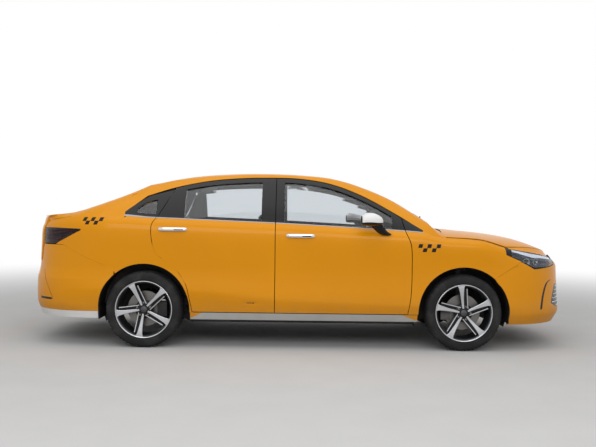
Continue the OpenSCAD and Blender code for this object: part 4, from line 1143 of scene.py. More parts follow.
def make_top():
    across = steps(44, -1, 1)
    sheet("roof_skin", YELLOW, "body", on_top(roof_xy), 30, across)
    sheet("bonnet_skin", YELLOW, "bonnet", on_top(bonnet_xy), 48, across)
    rows = steps(24, 0, 0.93) + steps(5, 0.95, 1) + steps(30, 1.04, 2)
    sheet("boot_lid_skin", YELLOW, "boot_lid", lid_sheet, across, rows)
    screen = sheet("screen_pane", GLASS, "body", on_top(screen_xy), 40, across,
                   top=screen_level, low=screen_level + glass_t)
    back = sheet("back_pane", GLASS, "body", on_top(back_glass_xy), 40, across,
                 top=back_level, low=back_level + glass_t)
    paired_panes = paired("quarter_panes", GLASS, (quarter_pane, 12, 6), top=8, low=8 + glass_t)
    for pane in (screen, back, paired_panes):
        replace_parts(pane, "fixed_glass")
    skin("screen_border", framed(screen_xy, screen_level, 0.05, 0.1, 0.05), GLOSS_BLACK, "body")
    skin("back_border", framed(back_glass_xy, back_level, 0.06, 0.06, 0.05), GLOSS_BLACK, "body")


# Wheels: local places are forward, outward from the tread's middle, and up
SIDEWALL = [(226, 84), (239, 86), (241, 94), (246, 98.4), (252, 99.2), (255, 102), (260, 102.6), (262, 101.4),
            (280, 102.2), (292, 100.4), (300, 97.4), (308, 91), (313, 84), (316.4, 76), (317.5, 66)]
GROOVES = [(318, 49.6), (311, 49), (311, 41), (318.4, 40.4), (318.5, 19.6), (311.4, 19), (311.4, 11), (318.5, 10.4)]
slot_count = 60
slot_depth = 3.5
BARREL = [(238, 90), (238, 96), (235.5, 97.4), (231.5, 96.4), (228.5, 92), (221, 84), (217, 68), (213, -60), (216, -96),
          (238, -96), (238, -88), (224, -84), (224, 84)]
BRAKE_DISC = [(26, 40), (70, 40), (74, 36), (74, 12), (148, 12), (150, 10), (150, -10), (148, -12), (26, -12)]
HUB = [(26, 81), (50, 79), (57, 74), (70, 68), (76, 60), (76, 14), (26, 14)]
HUB_CAP = [(0.5, 85), (20, 84.6), (25, 83), (27, 80), (27, 60), (0.5, 60)]
# Broad arm of a spoke: radius, half width
ARM = [(38, 10), (60, 10.4), (80, 11), (105, 12.3), (130, 14), (155, 16.2), (180, 19), (198, 21.6), (212, 25),
       (222, 30), (229, 36)]
arm_t = 30
arm_bevel = 3
line_at = [(30, -38), (80, -39.6), (140, -41.6), (201, -44)]
line_w = 4
web_drop = 14
spoke_count = 5
spoke_turn = {"front": 24, "rear": 45}
nut_at = (50, -24)
nut_r = 10


def ring_faces(rows, cols, start=0, close_rows=False, close_cols=True):
    """Quads of a grid of points, row after row, closed round either way."""
    last_r = rows if close_rows else rows - 1
    last_c = cols if close_cols else cols - 1
    return [[start + r * cols + c, start + r * cols + (c + 1) % cols,
             start + (r + 1) % rows * cols + (c + 1) % cols, start + (r + 1) % rows * cols + c]
            for r in range(last_r) for c in range(last_c)]


def capped(rows, cols, start=0):
    """Faces of a tube of rings with both ends shut."""
    ends = [[start + c for c in range(cols)][::-1], [start + (rows - 1) * cols + c for c in range(cols)]]
    return ring_faces(rows, cols, start) + ends


class Build:
    """Collects the points and faces of one piece, each face with the number of its finish."""

    def __init__(self, place=lambda p: p):
        self.verts, self.faces, self.marks = [], [], []
        self.place = place

    def add(self, points, faces, mark=0):
        start = len(self.verts)
        self.verts.extend(self.place(Vector(p)) for p in points)
        self.faces.extend([start + i for i in face] for face in faces)
        self.marks.extend(mark if isinstance(mark, list) else [mark] * len(faces))

    def tube(self, rings, mark=0):
        """Rings of equal counts, joined and shut at both ends."""
        self.add([p for ring in rings for p in ring], capped(len(rings), len(rings[0])), mark)

    def turned(self, outline, count, mark=0, dent=None):
        """A closed outline of (radius, outward) turned about the axle."""
        rows = []
        for i, (c, s) in enumerate(circle(count)):
            for r, y in outline:
                r = r - (dent(i, r, y) if dent else 0)
                rows.append((r * c, y, r * s))
        faces = ring_faces(count, len(outline), close_rows=True)
        self.add(rows, faces, mark if not isinstance(mark, list) else mark * count)

    def piece(self, name, finishes, body, angle=40):
        made = add_piece(name, self.verts, self.faces, finishes[0], body, angle, finishes[1:], self.marks)
        outward = bmesh.new()
        outward.from_mesh(made.data)
        bmesh.ops.recalc_face_normals(outward, faces=outward.faces)
        outward.to_mesh(made.data)
        outward.free()
        return made


def tyre_outline():
    half_way = SIDEWALL + GROOVES
    return half_way + [(r, -y) for r, y in reversed(half_way)]


def shoulder_slot(i, r, y):
    return slot_depth if i % 4 == 0 and r > 299 and 60 < abs(y) < 98 else 0


def face_y(r):
    """How far a spoke's face stands out at a radius."""
    return 80 + 12 * ease(60, 228, r)


def spun(turn):
    c, s = math.cos(math.radians(turn)), math.sin(math.radians(turn))
    return lambda p: Vector((p[0] * c - p[2] * s, p[1], p[0] * s + p[2] * c))


def arm_rings():
    for r, w in ARM:
        y = face_y(r)
        yield [(r, y - arm_t, -w), (r, y - arm_bevel, -w), (r, y, arm_bevel - w), (r, y, w - arm_bevel),
               (r, y - arm_bevel, w), (r, y - arm_t, w)]


def line_rings():
    for r, z in line_at:
        y = face_y(r) - 2
        yield [(r, y - arm_t, z - line_w), (r, y - 1, z - line_w), (r, y, z - line_w + 1), (r, y, z + line_w - 1),
               (r, y - 1, z + line_w), (r, y - arm_t, z + line_w)]


def web_rings():
    for r in steps(8, 44, 200):
        y = face_y(r) - web_drop
        low, high = curve(line_at, r) + line_w - 1, 2 - curve(ARM, r)
        yield [(r, y - 12, low), (r, y, low), (r, y, high), (r, y - 12, high)]


def add_spoke(wheel, turn):
    put = wheel.place
    wheel.place = lambda p: put(spun(turn)(p))
    bright = [1, 0, 0, 0, 1, 1]
    for rings in (arm_rings(), line_rings()):
        rings = list(rings)
        wheel.tube(rings, bright * (len(rings) - 1) + [1, 1])
    wheel.tube(list(web_rings()), 1)
    wheel.tube([[(nut_at[0] + r * c, y, nut_at[1] + r * s) for c, s in circle(6)]
                for y, r in ((60, nut_r), (88, nut_r), (91, nut_r - 2.5), (92, 4))], 3)
    wheel.place = put


def make_wheels():
    for place, axle in AXLES.items():
        for hand_name, hand in SIDES.items():
            body = f"{place}_{hand_name}_wheel"

            def at(p):
                return Vector((axle + p[0], hand * (tread_y + p[1]), axle_z + p[2]))

            tyre = Build(at)
            tyre.turned(tyre_outline(), 4 * slot_count, dent=shoulder_slot)
            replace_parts(tyre.piece(f"{place}_{hand_name}_tread", [RUBBER], body, 30), f"{place}_{hand_name}_tyre")
            wheel = Build(at)
            wheel.turned(BARREL, 120, [0, 0, 0, 0] + [2] * (len(BARREL) - 4))
            wheel.turned(BRAKE_DISC, 96, 3)
            wheel.turned(HUB, 64, 1)
            wheel.turned(HUB_CAP, 48, 2)
            for k in range(spoke_count):
                add_spoke(wheel, spoke_turn[place] + 360 / spoke_count * k)
            finishes = [MACHINED, WHEEL_BLACK, CAST_ALLOY, BRAKE_STEEL]
            made = wheel.piece(f"{place}_{hand_name}_wheel_face", finishes, body, 25)
            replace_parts(made, f"{place}_{hand_name}_rim")


# Lamps
t_head_tip = t_of(st(head_tip_s))
t_cover = t_of(st(150.5))
t_tail_tip = t_of(st(lamp_tip_s))
# Round lamps in each headlamp: station, height, radius
BOWLS = [(157.7, 742, 30), (168.4, 748, 25)]
BOWL = [(0.5, -16), (0.8, -12), (1.0, 0), (1.12, 0), (1.16, -3), (1.16, -20), (0.5, -20)]
BOWL_LENS = [(0.02, 7), (0.25, 6.4), (0.5, 4.6), (0.72, 1.4), (0.86, -4), (0.86, -8), (0.02, -8)]


def head_low(t):
    return edge_z(HEAD_LIP, t, 800) if t < t_cover + 1 else front_top(t) + 2


def head_sheet(low, high, deep=0.0):
    """Part of the headlamp between two shares of its height, at a share of its depth."""
    def f(u, v, d):
        t = mix(t_head_tip, head_in_t, u)
        z = mix(head_low(t), belt_z(plan(t)[0]) - 5, mix(low, high, v))
        return side(t, z, d + deep * lines([(t_head_tip, 4), (t_of(st(160)), 34)], t))
    return f


def tail_sheet(low, high, deep=0.0):
    def f(u, v, d):
        t = mix(t_tail_tip, lamp_in_t + gap, u)
        z = mix(edge_z(LAMP_LIP, t, 900), edge_z(LAMP_BROW, t, 985), mix(low, high, v))
        return side(t, z, d + deep * lines([(t_of(st(lamp_low_s)) - 60, 34), (t_tail_tip, 4)], t))
    return f


def lamp_border(form, columns, top, low, front, rear):
    """Sheets of a lamp's black rim: shares of its height at the top and below, and of its length at both ends."""
    ends = [(0, front), (1 - rear, 1)]
    return [(form(1 - top, 1), columns, 2), (form(0, low), columns, 2),
            *((form(low, 1 - top), steps(3, *end), 6) for end in ends)]


def facing(origin, out, hand):
    """Local places with the second axis along out, mirrored to a side."""
    out = Vector(out).normalized()
    along = out.cross(Vector((0, 0, 1))).normalized()
    up = along.cross(out)

    def at(p):
        q = Vector(origin) + along * p[0] + out * p[1] + up * p[2]
        return Vector((q[0], hand * q[1], q[2]))
    return at


def make_lamps():
    layers = [
        paired("headlamp_lens", LENS, (head_sheet(0, 1), 40, 10), top=-2.2, low=1),
        paired("headlamp_housing", LAMP_DARK, (head_sheet(0, 1, 1), 40, 10), top=0, low=3),
        paired("headlamp_brow", LAMP_DARK, (head_sheet(0.5, 0.66, 0.35), steps(30, 0.08, 0.97), 3), top=0, low=6),
        paired("headlamp_day_light", LIGHT_WHITE, (head_sheet(0.69, 0.94, 0.15), steps(36, 0.08, 0.98), 4),
               top=0, low=5),
        paired("headlamp_rim", GLOSS_BLACK, *lamp_border(head_sheet, 40, 0.04, 0.09, 0.07, 0.02), **LAMP_RIM)]
    bowls = Build()
    for hand in SIDES.values():
        for s, z, r in BOWLS:
            t = t_of(st(s))
            nx, ny = plan(t)[2:]
            bowls.place = facing(side(t, z, 20), (nx, ny, 0), hand)
            bowls.turned([(r * a, y) for a, y in BOWL], 40, 0)
            bowls.turned([(r * a, y) for a, y in BOWL_LENS], 40, 1)
    layers.append(bowls.piece("headlamp_bowls", [SILVERED, LENS], "body"))
    for layer in layers:
        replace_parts(layer, "head_lamps")
    layers = [
        paired("tail_lamp_lens", SMOKE, (tail_sheet(0, 1), 40, 10), top=-2.2, low=1),
        paired("tail_lamp_housing", LAMP_RED_DARK, (tail_sheet(0, 1, 1), 40, 10), top=0, low=3),
        paired("tail_lamp_bar", LIGHT_RED, (tail_sheet(0.6, 0.74, 0.2), steps(30, 0.12, 0.97), 3), top=0, low=5),
        paired("tail_lamp_low_bar", LIGHT_RED, (tail_sheet(0.14, 0.26, 0.2), steps(24, 0.3, 0.97), 3), top=0, low=5),
        paired("tail_lamp_rim", GLOSS_BLACK, *lamp_border(tail_sheet, 40, 0.13, 0.07, 0.05, 0.02), **LAMP_RIM)]
    for layer in layers:
        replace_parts(layer, "tail_lamps")


# Nose and tail details
SLIT = [(345, 170), (400, 171.3), (480, 173.6), (540, 176), (575, 178.6), (592, 182.6)]
WING_EDGE = [(358, 2233), (391, 2174), (548, 2233)]
wing_pitch = 25
stud_pitch = 34
stud_r = 9
vent_x = (-2215, -2080)
vent_z = 392
plate_w = 260
plate_h = 56
plate_round = 14


def bonnet_rim(w):
    x, y = bonnet_xy(1, w)
    return Vector((x, y, top_z(x, y)))


def lamp_shelf(u, v, d):
    """Painted strip between the headlamp and the bonnet's edge."""
    rim = bonnet_rim(mix(0.99, 0.66, u))
    t = min(steps(60, t_head_tip, head_in_t), key=lambda t: (side(t, belt_z(plan(t)[0])) - rim).length)
    outer = side(t, belt_z(plan(t)[0]) - 4, 0)
    away = (outer - rim) * Vector((1, 1, 0))
    inner = rim + away.normalized() * min(7, away.length * 0.5) + Vector((0, 0, -4))
    return outer.lerp(inner, v) - Vector((0, 0, d))


def nose_gap_shade(u, v, d):
    """Black sheet between the bumper and the bonnet's front edge: painted shade of the gap there."""
    t = mix(head_in_t - 4, t_nose, u)
    low = side(t, front_top(t), 2)
    x = curve(NOSE_LINE, low[1] / (half - 111)) - 4
    high = Vector((x, low[1], top_z(x, low[1]) - 9))
    high = low.lerp(high, mix(0.4, 1, ease(0.02, 0.4, u)))
    return low.lerp(high, v) - Vector((d, 0, d))


def slit_sheet(u, v, d):
    z = mix(SLIT[0][0], SLIT[-1][0], v)
    return side(t_of(st(curve(SLIT, z))) + mix(-16, 16, u) * ease(335, 360, z), z, d)


def vent_sheet(u, v, d):
    x = mix(vent_x[1], vent_x[0], u)
    return side(t_of(x), vent_z + mix(-9, 9, v) * ease(vent_x[1] + 12, vent_x[1] - 30, x), d)


# Black line running up the rear bumper from the vent: painted shade of the crease
def rear_crease_shade(u, v, d):
    z = mix(vent_z + 8, 634, v)
    return side(t_of(mix(vent_x[1], -2203, v)) + mix(-2.5, 2.5, u), z, d)


def grille_rim(u, v, d):
    z = mix(grille_low, grille_high, v)
    return side(t_at_width(lines(GRILLE_EDGE, z) - mix(-2, 16, u)), z, d)


def grille_wing(u, v, d):
    """Black point of the grille that runs round the bumper's corner."""
    z = mix(WING_EDGE[0][0], WING_EDGE[-1][0], v)
    return side(mix(t_of(lines(WING_EDGE, z)), t_at_width(lines(GRILLE_EDGE, z)), u), z, d)


def grille_rail(low, high):
    def f(u, v, d):
        z = mix(low, high, v)
        return side(mix(t_at_width(lines(GRILLE_EDGE, z)), t_nose, u), z, d)
    return f


def add_stud(studs, y, z, deep=6):
    t = t_at_width(max(1, abs(y)))
    nx, ny = plan(t)[2:]
    studs.place = facing(side(t, z, deep), (nx, ny, 0), 1 if y > 0 else -1)
    studs.tube([[(r * a, out, r * b) for a, b in ((1, 0), (0, 1), (-1, 0), (0, -1))]
                for r, out in ((stud_r, -4), (0.35 * stud_r, 6))])


def make_studs():
    studs = Build()
    for i, z in enumerate(steps(6, grille_low + 24, grille_high - 22)):
        shift = 0.5 * (i % 2)
        inner = lines(GRILLE_EDGE, z)
        for k in range(-14, 15):
            y = (k + shift) * stud_pitch
            if abs(y) < inner - 26:
                add_stud(studs, y, z)
        y = inner + (0.5 + shift) * wing_pitch
        while WING_EDGE[0][0] < z < WING_EDGE[-1][0] and plan(t_at_width(y))[0] > lines(WING_EDGE, z) + 14:
            add_stud(studs, y, z, 0)
            add_stud(studs, -y, z, 0)
            y += wing_pitch
    studs.piece("grille_studs", [CHROME], "body")


def add_plate(name, x, z, out, body):
    """Blank plate in a black holder."""
    plate = Build()
    for w, h, deep, mark in ((plate_w + 8, plate_h + 8, 8, 1), (plate_w, plate_h, 10, 0)):
        plate.tube([[(x + out * level, math.copysign(w - plate_round, c) + cut * c,
                      z + math.copysign(h - plate_round, s) + cut * s) for c, s in circle(32)]
                    for level, cut in ((0, plate_round), (deep - 2, plate_round), (deep, plate_round - 2))], mark)
    plate.piece(name, [PLATE, BLACK], body)


def make_nose_and_tail():
    # Black sheet in the gap under the bonnet's front edge: painted shade
    paired("nose_gap_shade", GLOSS_BLACK, (nose_gap_shade, 30, 4), top=-1, low=2)
    paired("bumper_slits", GLOSS_BLACK, (slit_sheet, 3, 30), **OVERLAY)
    # The line up from each vent is painted shade of a crease
    paired("rear_vents", GLOSS_BLACK, (vent_sheet, 24, 3), (rear_crease_shade, 2, 20), **OVERLAY)
    paired("grille_wings", GLOSS_BLACK, (grille_wing, 12, 16), **TRIM)
    paired("lamp_shelves", YELLOW, (lamp_shelf, 30, 4), top=0, low=3)
    rails = [(grille_rail(z, z + 14), 24, 2) for z in (grille_high - 12, grille_low - 2)]
    paired("grille_surround", GLOSS_BLACK, (grille_rim, 3, 24), *rails, low=20, **TRIM)
    make_studs()
    add_plate("front_plate", side(t_nose, 440, 2)[0] - 4, 452, 1, "body")
    add_plate("rear_plate", tail_x(0, 860) - 1, 860, -1, "boot_lid")


# Checker squares of the wing and the rear quarter: places and height of the upper row, of the lower row, lean
CHECKS = {"wing": ([1009, 1083, 1160], 876, [1046, 1121], 842, 8),
          "quarter": ([-1795, -1721, -1648], 1066, [-1768, -1692], 1037, 12)}
check_half = 17
check_tall = 16


def check_square(x, z, lean):
    def f(u, v, d):
        along = x + mix(-check_half, check_half, u) + lean * (v - 0.5)
        return side(t_of(along), z + mix(-check_tall, check_tall, v), d)
    return f


def make_checks():
    for place, (upper, z_up, lower, z_low, lean) in CHECKS.items():
        spots = [(x, z_up) for x in upper] + [(x, z_low) for x in lower]
        paired(f"{place}_checks", DECAL, *[(check_square(x, z, lean), 3, 4) for x, z in spots], top=-2.7, low=0)


# Mirrors: rings of forward, outward, up, half width and half height
mirror_x = st(75.5)
mirror_z = 1030
MIRROR_CAP = [(-45, 110, 44, 16, 8), (-50, 110, 46, 40, 22), (-62, 110, 50, 58, 33), (-84, 110, 55, 74, 43),
              (-112, 111, 60, 82, 50), (-140, 111, 63, 87, 53), (-168, 112, 63, 89, 53), (-190, 112, 61, 89, 50),
              (-206, 112, 57, 86, 45), (-215, 112, 54, 82, 40), (-219, 112, 53, 78, 36), (-216, 112, 53, 75, 33),
              (-206, 112, 53, 74, 32)]
MIRROR_ARM = [(-96, 84, 22, 50, 18), (-84, 66, 0, 48, 22), (-62, 46, -22, 46, 26), (-40, 27, -42, 45, 28),
              (-18, 12, -55, 44, 27), (-6, 3, -60, 44, 25)]


def rounded_ring(x, y, z, wide, tall, count=36, power=2.7):
    def pressed(c):
        return math.copysign(abs(c) ** (2 / power), c)

    return [(x, y + pressed(c) * wide, z + pressed(s) * tall) for c, s in circle(count)]


def make_mirrors():
    foot_y = low_side(mirror_x, mirror_z - 75, 0)[1]
    for hand_name, hand in SIDES.items():
        def at(p):
            return Vector((mirror_x + p[0], hand * (foot_y + p[1]), mirror_z + p[2]))

        cap = Build(at)
        rings = [rounded_ring(*row) for row in MIRROR_CAP]
        cap.tube(rings, 0)
        count = len(rings[0])
        for i, face in enumerate(cap.faces):
            low = sum(cap.verts[k][2] for k in face) / len(face) < mirror_z + 36
            cap.marks[i] = 1 if low or i >= count * (len(rings) - 3) else 0
        cap.marks[-1] = 2
        cap.tube([[(x + long * c, y + 0.55 * thick * s, z - 0.47 * thick * s) for c, s in circle(24)]
                  for x, y, z, long, thick in MIRROR_ARM], 1)
        made = cap.piece(f"{hand_name}_mirror_head", [WHITE, GLOSS_BLACK, MIRROR], f"front_{hand_name}_door")
        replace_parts(made, f"{hand_name}_mirror")


# Door handles
handle_half = 120
handle_tall = 16
HANDLES = {"front": (x_b + 206, 948), "rear": (st(9), 990)}


def handle_ring(u, y, scale=1.0):
    """Section of the grip at a share of its half length."""
    out = 3 + 16 * (1 - abs(u) ** 5)
    tall = handle_tall * (1 - 0.25 * abs(u) ** 4) * scale
    thick = (7.5 - 2.5 * abs(u) ** 3) * scale
    return [(y + out + thick * c, tall * s) for c, s in circle(18)]


def make_handles():
    for place, (x, z) in HANDLES.items():
        y = max(low_side(x, z - handle_tall, 0)[1], low_side(x, z + handle_tall, 0)[1])
        for hand_name, hand in SIDES.items():
            grip = Build(lambda p: Vector((p[0], hand * p[1], p[2])))
            us = [-1, -0.985, -0.95] + steps(20, -0.9, 0.9) + [0.95, 0.985, 1]
            shares = [0.45, 0.8, 0.95] + [1] * 21 + [0.95, 0.8, 0.45]
            grip.tube([[(x + u * handle_half, q, z + r) for q, r in handle_ring(u, y, k)]
                       for u, k in zip(us, shares)], 0)
            grip.tube([[(x + u * handle_half, q + 1.6, z - 1.5 + r * 0.45) for q, r in handle_ring(u, y)]
                       for u in steps(10, 0.12, 0.74)], 1)
            made = grip.piece(f"{place}_{hand_name}_grip", [CHROME, GLOSS_BLACK], f"{place}_{hand_name}_door")
            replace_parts(made, f"{place}_{hand_name}_handle")


# Cowl, wipers and the walls inside the arches
splash_y = {"front": 466, "rear": 596}
wall_r = 404


def cowl_sheet(u, w, d):
    x = mix(screen_x - 30, bonnet_rear + 20, u) - screen_bow * w * w
    y = w * (edge(max(x, st(89.4)))[0] - corner_in + 12)
    return Vector((x, y, top_z(x, y) - 13 - d))


def wiper(name, start, end, pivot):
    """Blade along the screen's foot with its arm and pivot."""
    rubber_line = []
    for w in steps(16, start, end):
        x, y = screen_xy(0.972, w)
        rubber_line.append(Vector((x, y, top_z(x, y) + 9)))
    px, py = screen_xy(1.0, pivot)
    hub = Vector((px + 46, py, top_z(px + 46, py) + 4))
    arm_line = [hub.lerp(rubber_line[9], k) + Vector((0, 0, 10 * math.sin(math.pi * k))) for k in steps(10)]
    made = Build()
    for line, radius, tall in ((rubber_line, 5, 9), (arm_line, 8, 6)):
        made.tube([[p + Vector((radius * c, 0.4 * radius * s, tall * s)) for c, s in circle(12)] for p in line])
    dome = [(0.5, 14), (9, 13), (15, 9), (17, 0), (17, -10), (0.5, -10)]
    made.place = lambda p: hub + Vector((p[0], p[2], p[1]))
    made.turned(dome, 24)
    made.piece(name, [BLACK], "body")


def splash_wall(place):
    """Dark wall at the inner end of an arch."""
    def f(u, v, d):
        turn = math.radians(mix(-20, 200, u))
        r = mix(150 if place == "rear" else 90, wall_r, v)
        return Vector((AXLES[place] + r * math.cos(turn), splash_y[place] - d, axle_z + r * math.sin(turn)))
    return f


def wall_rim(first, last):
    """Dark shell between the front splash wall and the arch, over a range of angles."""
    def f(u, v, d):
        turn = math.radians(mix(first, last, u))
        r = wall_r + d
        return Vector((x_fa + r * math.cos(turn), mix(splash_y["front"], 664, v), axle_z + r * math.sin(turn)))
    return f


def flap_sheet(x):
    """Dark flap across the foot of an arch."""
    return lambda u, v, d: Vector((x + d, mix(560, 858, u), mix(232, 336, v)))


def make_cowl_and_walls():
    wall = {"top": 0, "low": 4}
    sheet("cowl_grille", MATT, "body", cowl_sheet, 8, steps(40, -1, 1), **wall)
    wiper("right_wiper", -0.62, 0.1, -0.24)
    wiper("left_wiper", 0.08, 0.72, 0.42)
    for place in AXLES:
        paired(f"{place}_splash_walls", UNDERBODY, (splash_wall(place), 36, 4), **wall)
    paired("front_wall_rims", UNDERBODY, (wall_rim(-20, 68), 20, 4), (wall_rim(112, 200), 20, 4), **wall)
    paired("arch_flaps", BLACK, (flap_sheet(x_fa + 372), 6, 4), (flap_sheet(x_ra - 374), 6, 4, {"low": -4}), **wall)


# Cabin
door_t = 108
frame_t = 42
door_step = 30
CARD_TRIM = 2.0


def door_depth(x, z):
    return mix(door_t, frame_t, ease(-110, 15, z - belt_z(x)))


def card_sheet(k, u, v, d):
    """Inner face of a door, from its foot to the window."""
    x = door_x(k, u, v, -door_step)
    z = mix(door_z + door_step * 0.6, belt_z(x) + 8, v)
    return side(x, z, door_depth(x, z) + CARD_TRIM + d)


def inner_band(k, u, v, d):
    x = door_x(k, u, 2, -door_step)
    return side(x, mix(dlo_z(x) - pane_top - 1, dlo_z(x) - door_step * 0.5, v), frame_t + CARD_TRIM + d)


def inner_upright(start, end):
    outer = upright_sheet(start, end)
    return lambda u, v, d: outer(u, v, frame_t + CARD_TRIM - d)


def rest_sheet(k, u, v, d):
    """Armrest standing out of a door card."""
    x = door_x(k, mix(0.12, 0.8, u), 0.6)
    z = mix(640, 706, v)
    swell = 58 * ease(0, 0.3, v) * ease(1, 0.75, v) * ease(0, 0.12, u) * ease(1, 0.88, u)
    return side(x, z, door_t + CARD_TRIM + swell + d)


def make_door_cards():
    for hand_name, hand in SIDES.items():
        inside = {"top": -2, "low": 1, "hand": hand}
        for k, place in enumerate(AXLES):
            body = f"{place}_{hand_name}_door"
            left, right = (st(s) for s in pane_s[k])
            uprights = [(lambda z: trail_x(k, z) + door_step, lambda z: left),
                        (lambda z: right, lambda z: lead_x(k, z) - door_step)]
            sheets = [patch(partial(card_sheet, k), 16, 20, **inside), patch(partial(inner_band, k), 24, 3, **inside)]
            sheets += [patch(inner_upright(*ends), 3, 12, **inside) for ends in uprights]
            sheets.append(patch(partial(rest_sheet, k), 20, 12, **inside))
            skin(f"{body}_card", sheets, CABIN, body)


def lining_sheet(u, w, d):
    x = mix(tail_head_x - 40, head_x + 40, u)
    y = w * (rail_y(x) + 20)
    return Vector((x, y, top_z(x, y) - 30 - 14 * abs(w) ** 6 + d))


def inner_rail(t, v, d):
    """Trim over the inside of the pillars and roof rail."""
    x = plan(t)[0]
    z_edge = edge(x)[1]
    low = dlo_z(x) - 4 if x > window_tip else belt_z(x)
    return side(t, mix(low, max(low + 4, z_edge - 20), v), 56 + d)


def post_trim(u, v, d):
    """Cover over the foot of the middle post."""
    x = x_b - gap / 2 + mix(-46, 46, u)
    z = mix(330, belt_z(x) + 4, v)
    return side(x, z, door_depth(x, z) + CARD_TRIM + 9 + d)


def make_linings():
    paired("post_trims", CABIN, (post_trim, 4, 20), top=0, low=4)
    sheet("roof_lining", LINING, "body", lining_sheet, 24, steps(24, -1, 1), top=0, low=4)
    columns = steps(10, st(-40), window_tip) + steps(50, st(-15), st(86))
    paired("pillar_linings", CABIN, (inner_rail, columns, 5), top=0, low=3)


# Seats: outlines of forward and up, carried across the car
SEAT_BASE = [(285, 231.5), (294, 300), (286, 318), (-150, 318), (-162, 300), (-160, 231.5)]
SEAT_CUSHION = [(300, 312), (310, 400), (290, 425), (-56, 396), (-150, 388), (-156, 312)]
SEAT_BACK = [(-62, 402), (-250, 900), (-300, 955), (-345, 950), (-330, 880), (-190, 400)]
HEAD_PAD = [(-352, 1000), (-300, 990), (-282, 1030), (-296, 1118), (-340, 1132), (-374, 1100)]
BENCH_CUSHION = [(-432.5, 340), (-412.5, 400), (-442.5, 440), (-832.5, 420), (-905, 412), (-912, 393), (-912, 340)]
BENCH_BACK = [(-834, 424), (-1022.5, 930), (-1072.5, 970), (-1112.5, 950), (-982.5, 420), (-950, 396), (-860, 396)]
BENCH_HEAD = [(-1142, 1000), (-1090, 990), (-1074, 1024), (-1088, 1098), (-1130, 1110), (-1160, 1084)]
seat_y = 400
seat_half = 240
bench_half = 600
head_half = 128
head_y = 330
post_r = 6
bolster_y = 150
bench_bolster_y = 520
bench_lane_y = 200
pad_frames = 20
pad_start = 11
pad_cap = 24
pad_voxel = 12
channel_deep = 8
channel_wide = 9


def drawn_in(outline, d):
    """An outline with each edge moved inwards by d."""
    area = sum(a[0] * b[1] - b[0] * a[1] for a, b in zip(outline, outline[1:] + outline[:1]))
    turn = 1 if area > 0 else -1
    made = []
    for before, here, after in zip(outline[-1:] + outline[:-1], outline, outline[1:] + outline[:1]):
        one, two = ((Vector(b) - Vector(a)).normalized() for a, b in ((before, here), (here, after)))
        inward = [Vector((-e[1], e[0])) * turn for e in (one, two)]
        made.append(Vector(here) + (inward[0] + inward[1]) * d / (1 + inward[0].dot(inward[1])))
    return made


def slab(outline, wide):
    """An outline carried from one side to the other, as a work object."""
    n = len(outline)
    points = [(x * MM, y * MM, z * MM) for y in (-wide, wide) for x, z in outline]
    faces = [[i, (i + 1) % n, n + (i + 1) % n, n + i] for i in range(n)] + [list(range(n)), list(range(n, 2 * n))]
    shape = bmesh.new()
    corners = [shape.verts.new(p) for p in points]
    for face in faces:
        shape.faces.new([corners[i] for i in face])
    bmesh.ops.recalc_face_normals(shape, faces=shape.faces)
    mesh = bpy.data.meshes.new("pad_work")
    shape.to_mesh(mesh)
    shape.free()
    return mesh


def settled(mesh, modifier, settings, frames=1):
    """The mesh after a modifier, once the given number of frames has passed."""
    work = placed("pad_work", mesh)
    made = work.modifiers.new("work", modifier)
    for name, value in settings.items():
        setattr(made, name, value)
    if modifier == "CLOTH":
        made.settings.quality = 4
        made.settings.use_pressure = True
        made.settings.uniform_pressure_force = 4
        made.settings.effector_weights.gravity = 0
    for number in range(1, frames + 1):
        bpy.context.scene.frame_set(number)
    graph = bpy.context.evaluated_depsgraph_get()
    result = bpy.data.meshes.new_from_object(work.evaluated_get(graph))
    bpy.data.objects.remove(work)
    bpy.context.scene.frame_set(1)
    return result


def filled_pad(outline, wide, soft=8):
    """A cover over an outline: remeshed, rounded, blown up by a cloth simulation, then subdivided."""
    mesh = settled(slab(drawn_in(outline, pad_start), wide - pad_start), "REMESH",
                   {"mode": "VOXEL", "voxel_size": pad_voxel * MM})
    mesh = settled(mesh, "SMOOTH", {"factor": 0.5, "iterations": soft})
    blown = settled(mesh, "CLOTH", {}, pad_frames)
    for before, after in zip(mesh.vertices, blown.vertices):
        move = after.co - before.co
        before.co += move * min(1, pad_cap * MM / max(move.length, 1e-9))
    return settled(mesh, "SUBSURF", {"levels": 1})


def sew(mesh, facing_way, rows, across):
    """Press sewn channels into the side that faces a way: at the given heights or lengths, and beside the bolsters."""
    way = Vector(facing_way).normalized()
    normals = [v.normal.copy() for v in mesh.vertices]
    for vert, normal in zip(mesh.vertices, normals):
        if normal.dot(way) < 0.3:
            continue
        place = vert.co.z if abs(way[0]) > abs(way[2]) else vert.co.x
        y = vert.co.y / MM
        lanes = [abs(abs(y) - a) for a in across]
        if abs(y) < max(across):
            lanes += [abs(place / MM - row) for row in rows]
        near = min(lanes)
        vert.co -= normal * channel_deep * MM * math.exp(-(near / channel_wide) ** 2)


def add_pads(name, mesh, shifts, node=None, bolster=None):
    """Copies of a pad at several places across the car."""
    mesh.materials.clear()
    for finish in (CLOTH, CLOTH_EDGE):
        mesh.materials.append(finish.material)
    for face in mesh.polygons:
        face.material_index = 1 if bolster and abs(face.center.y) > bolster * MM else 0
    mesh.shade_smooth()
    for place, shift in shifts.items():
        copy = mesh.copy()
        copy.transform(Matrix.Translation((0, shift * MM, 0)))
        pad = placed(f"{place}_{name}", copy)
        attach(pad, "body")
        if node:
            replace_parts(pad, node)


def add_posts(name, x, low, high, places):
    """Two polished posts under each headrest."""
    posts = Build()
    for y in places:
        for middle in (y - 55, y + 55):
            posts.tube([[(x - 0.25 * (z - low) + post_r * c, middle + post_r * s, z) for c, s in circle(16)]
                        for z in (low, high)])
    posts.piece(name, [STEEL], "body")


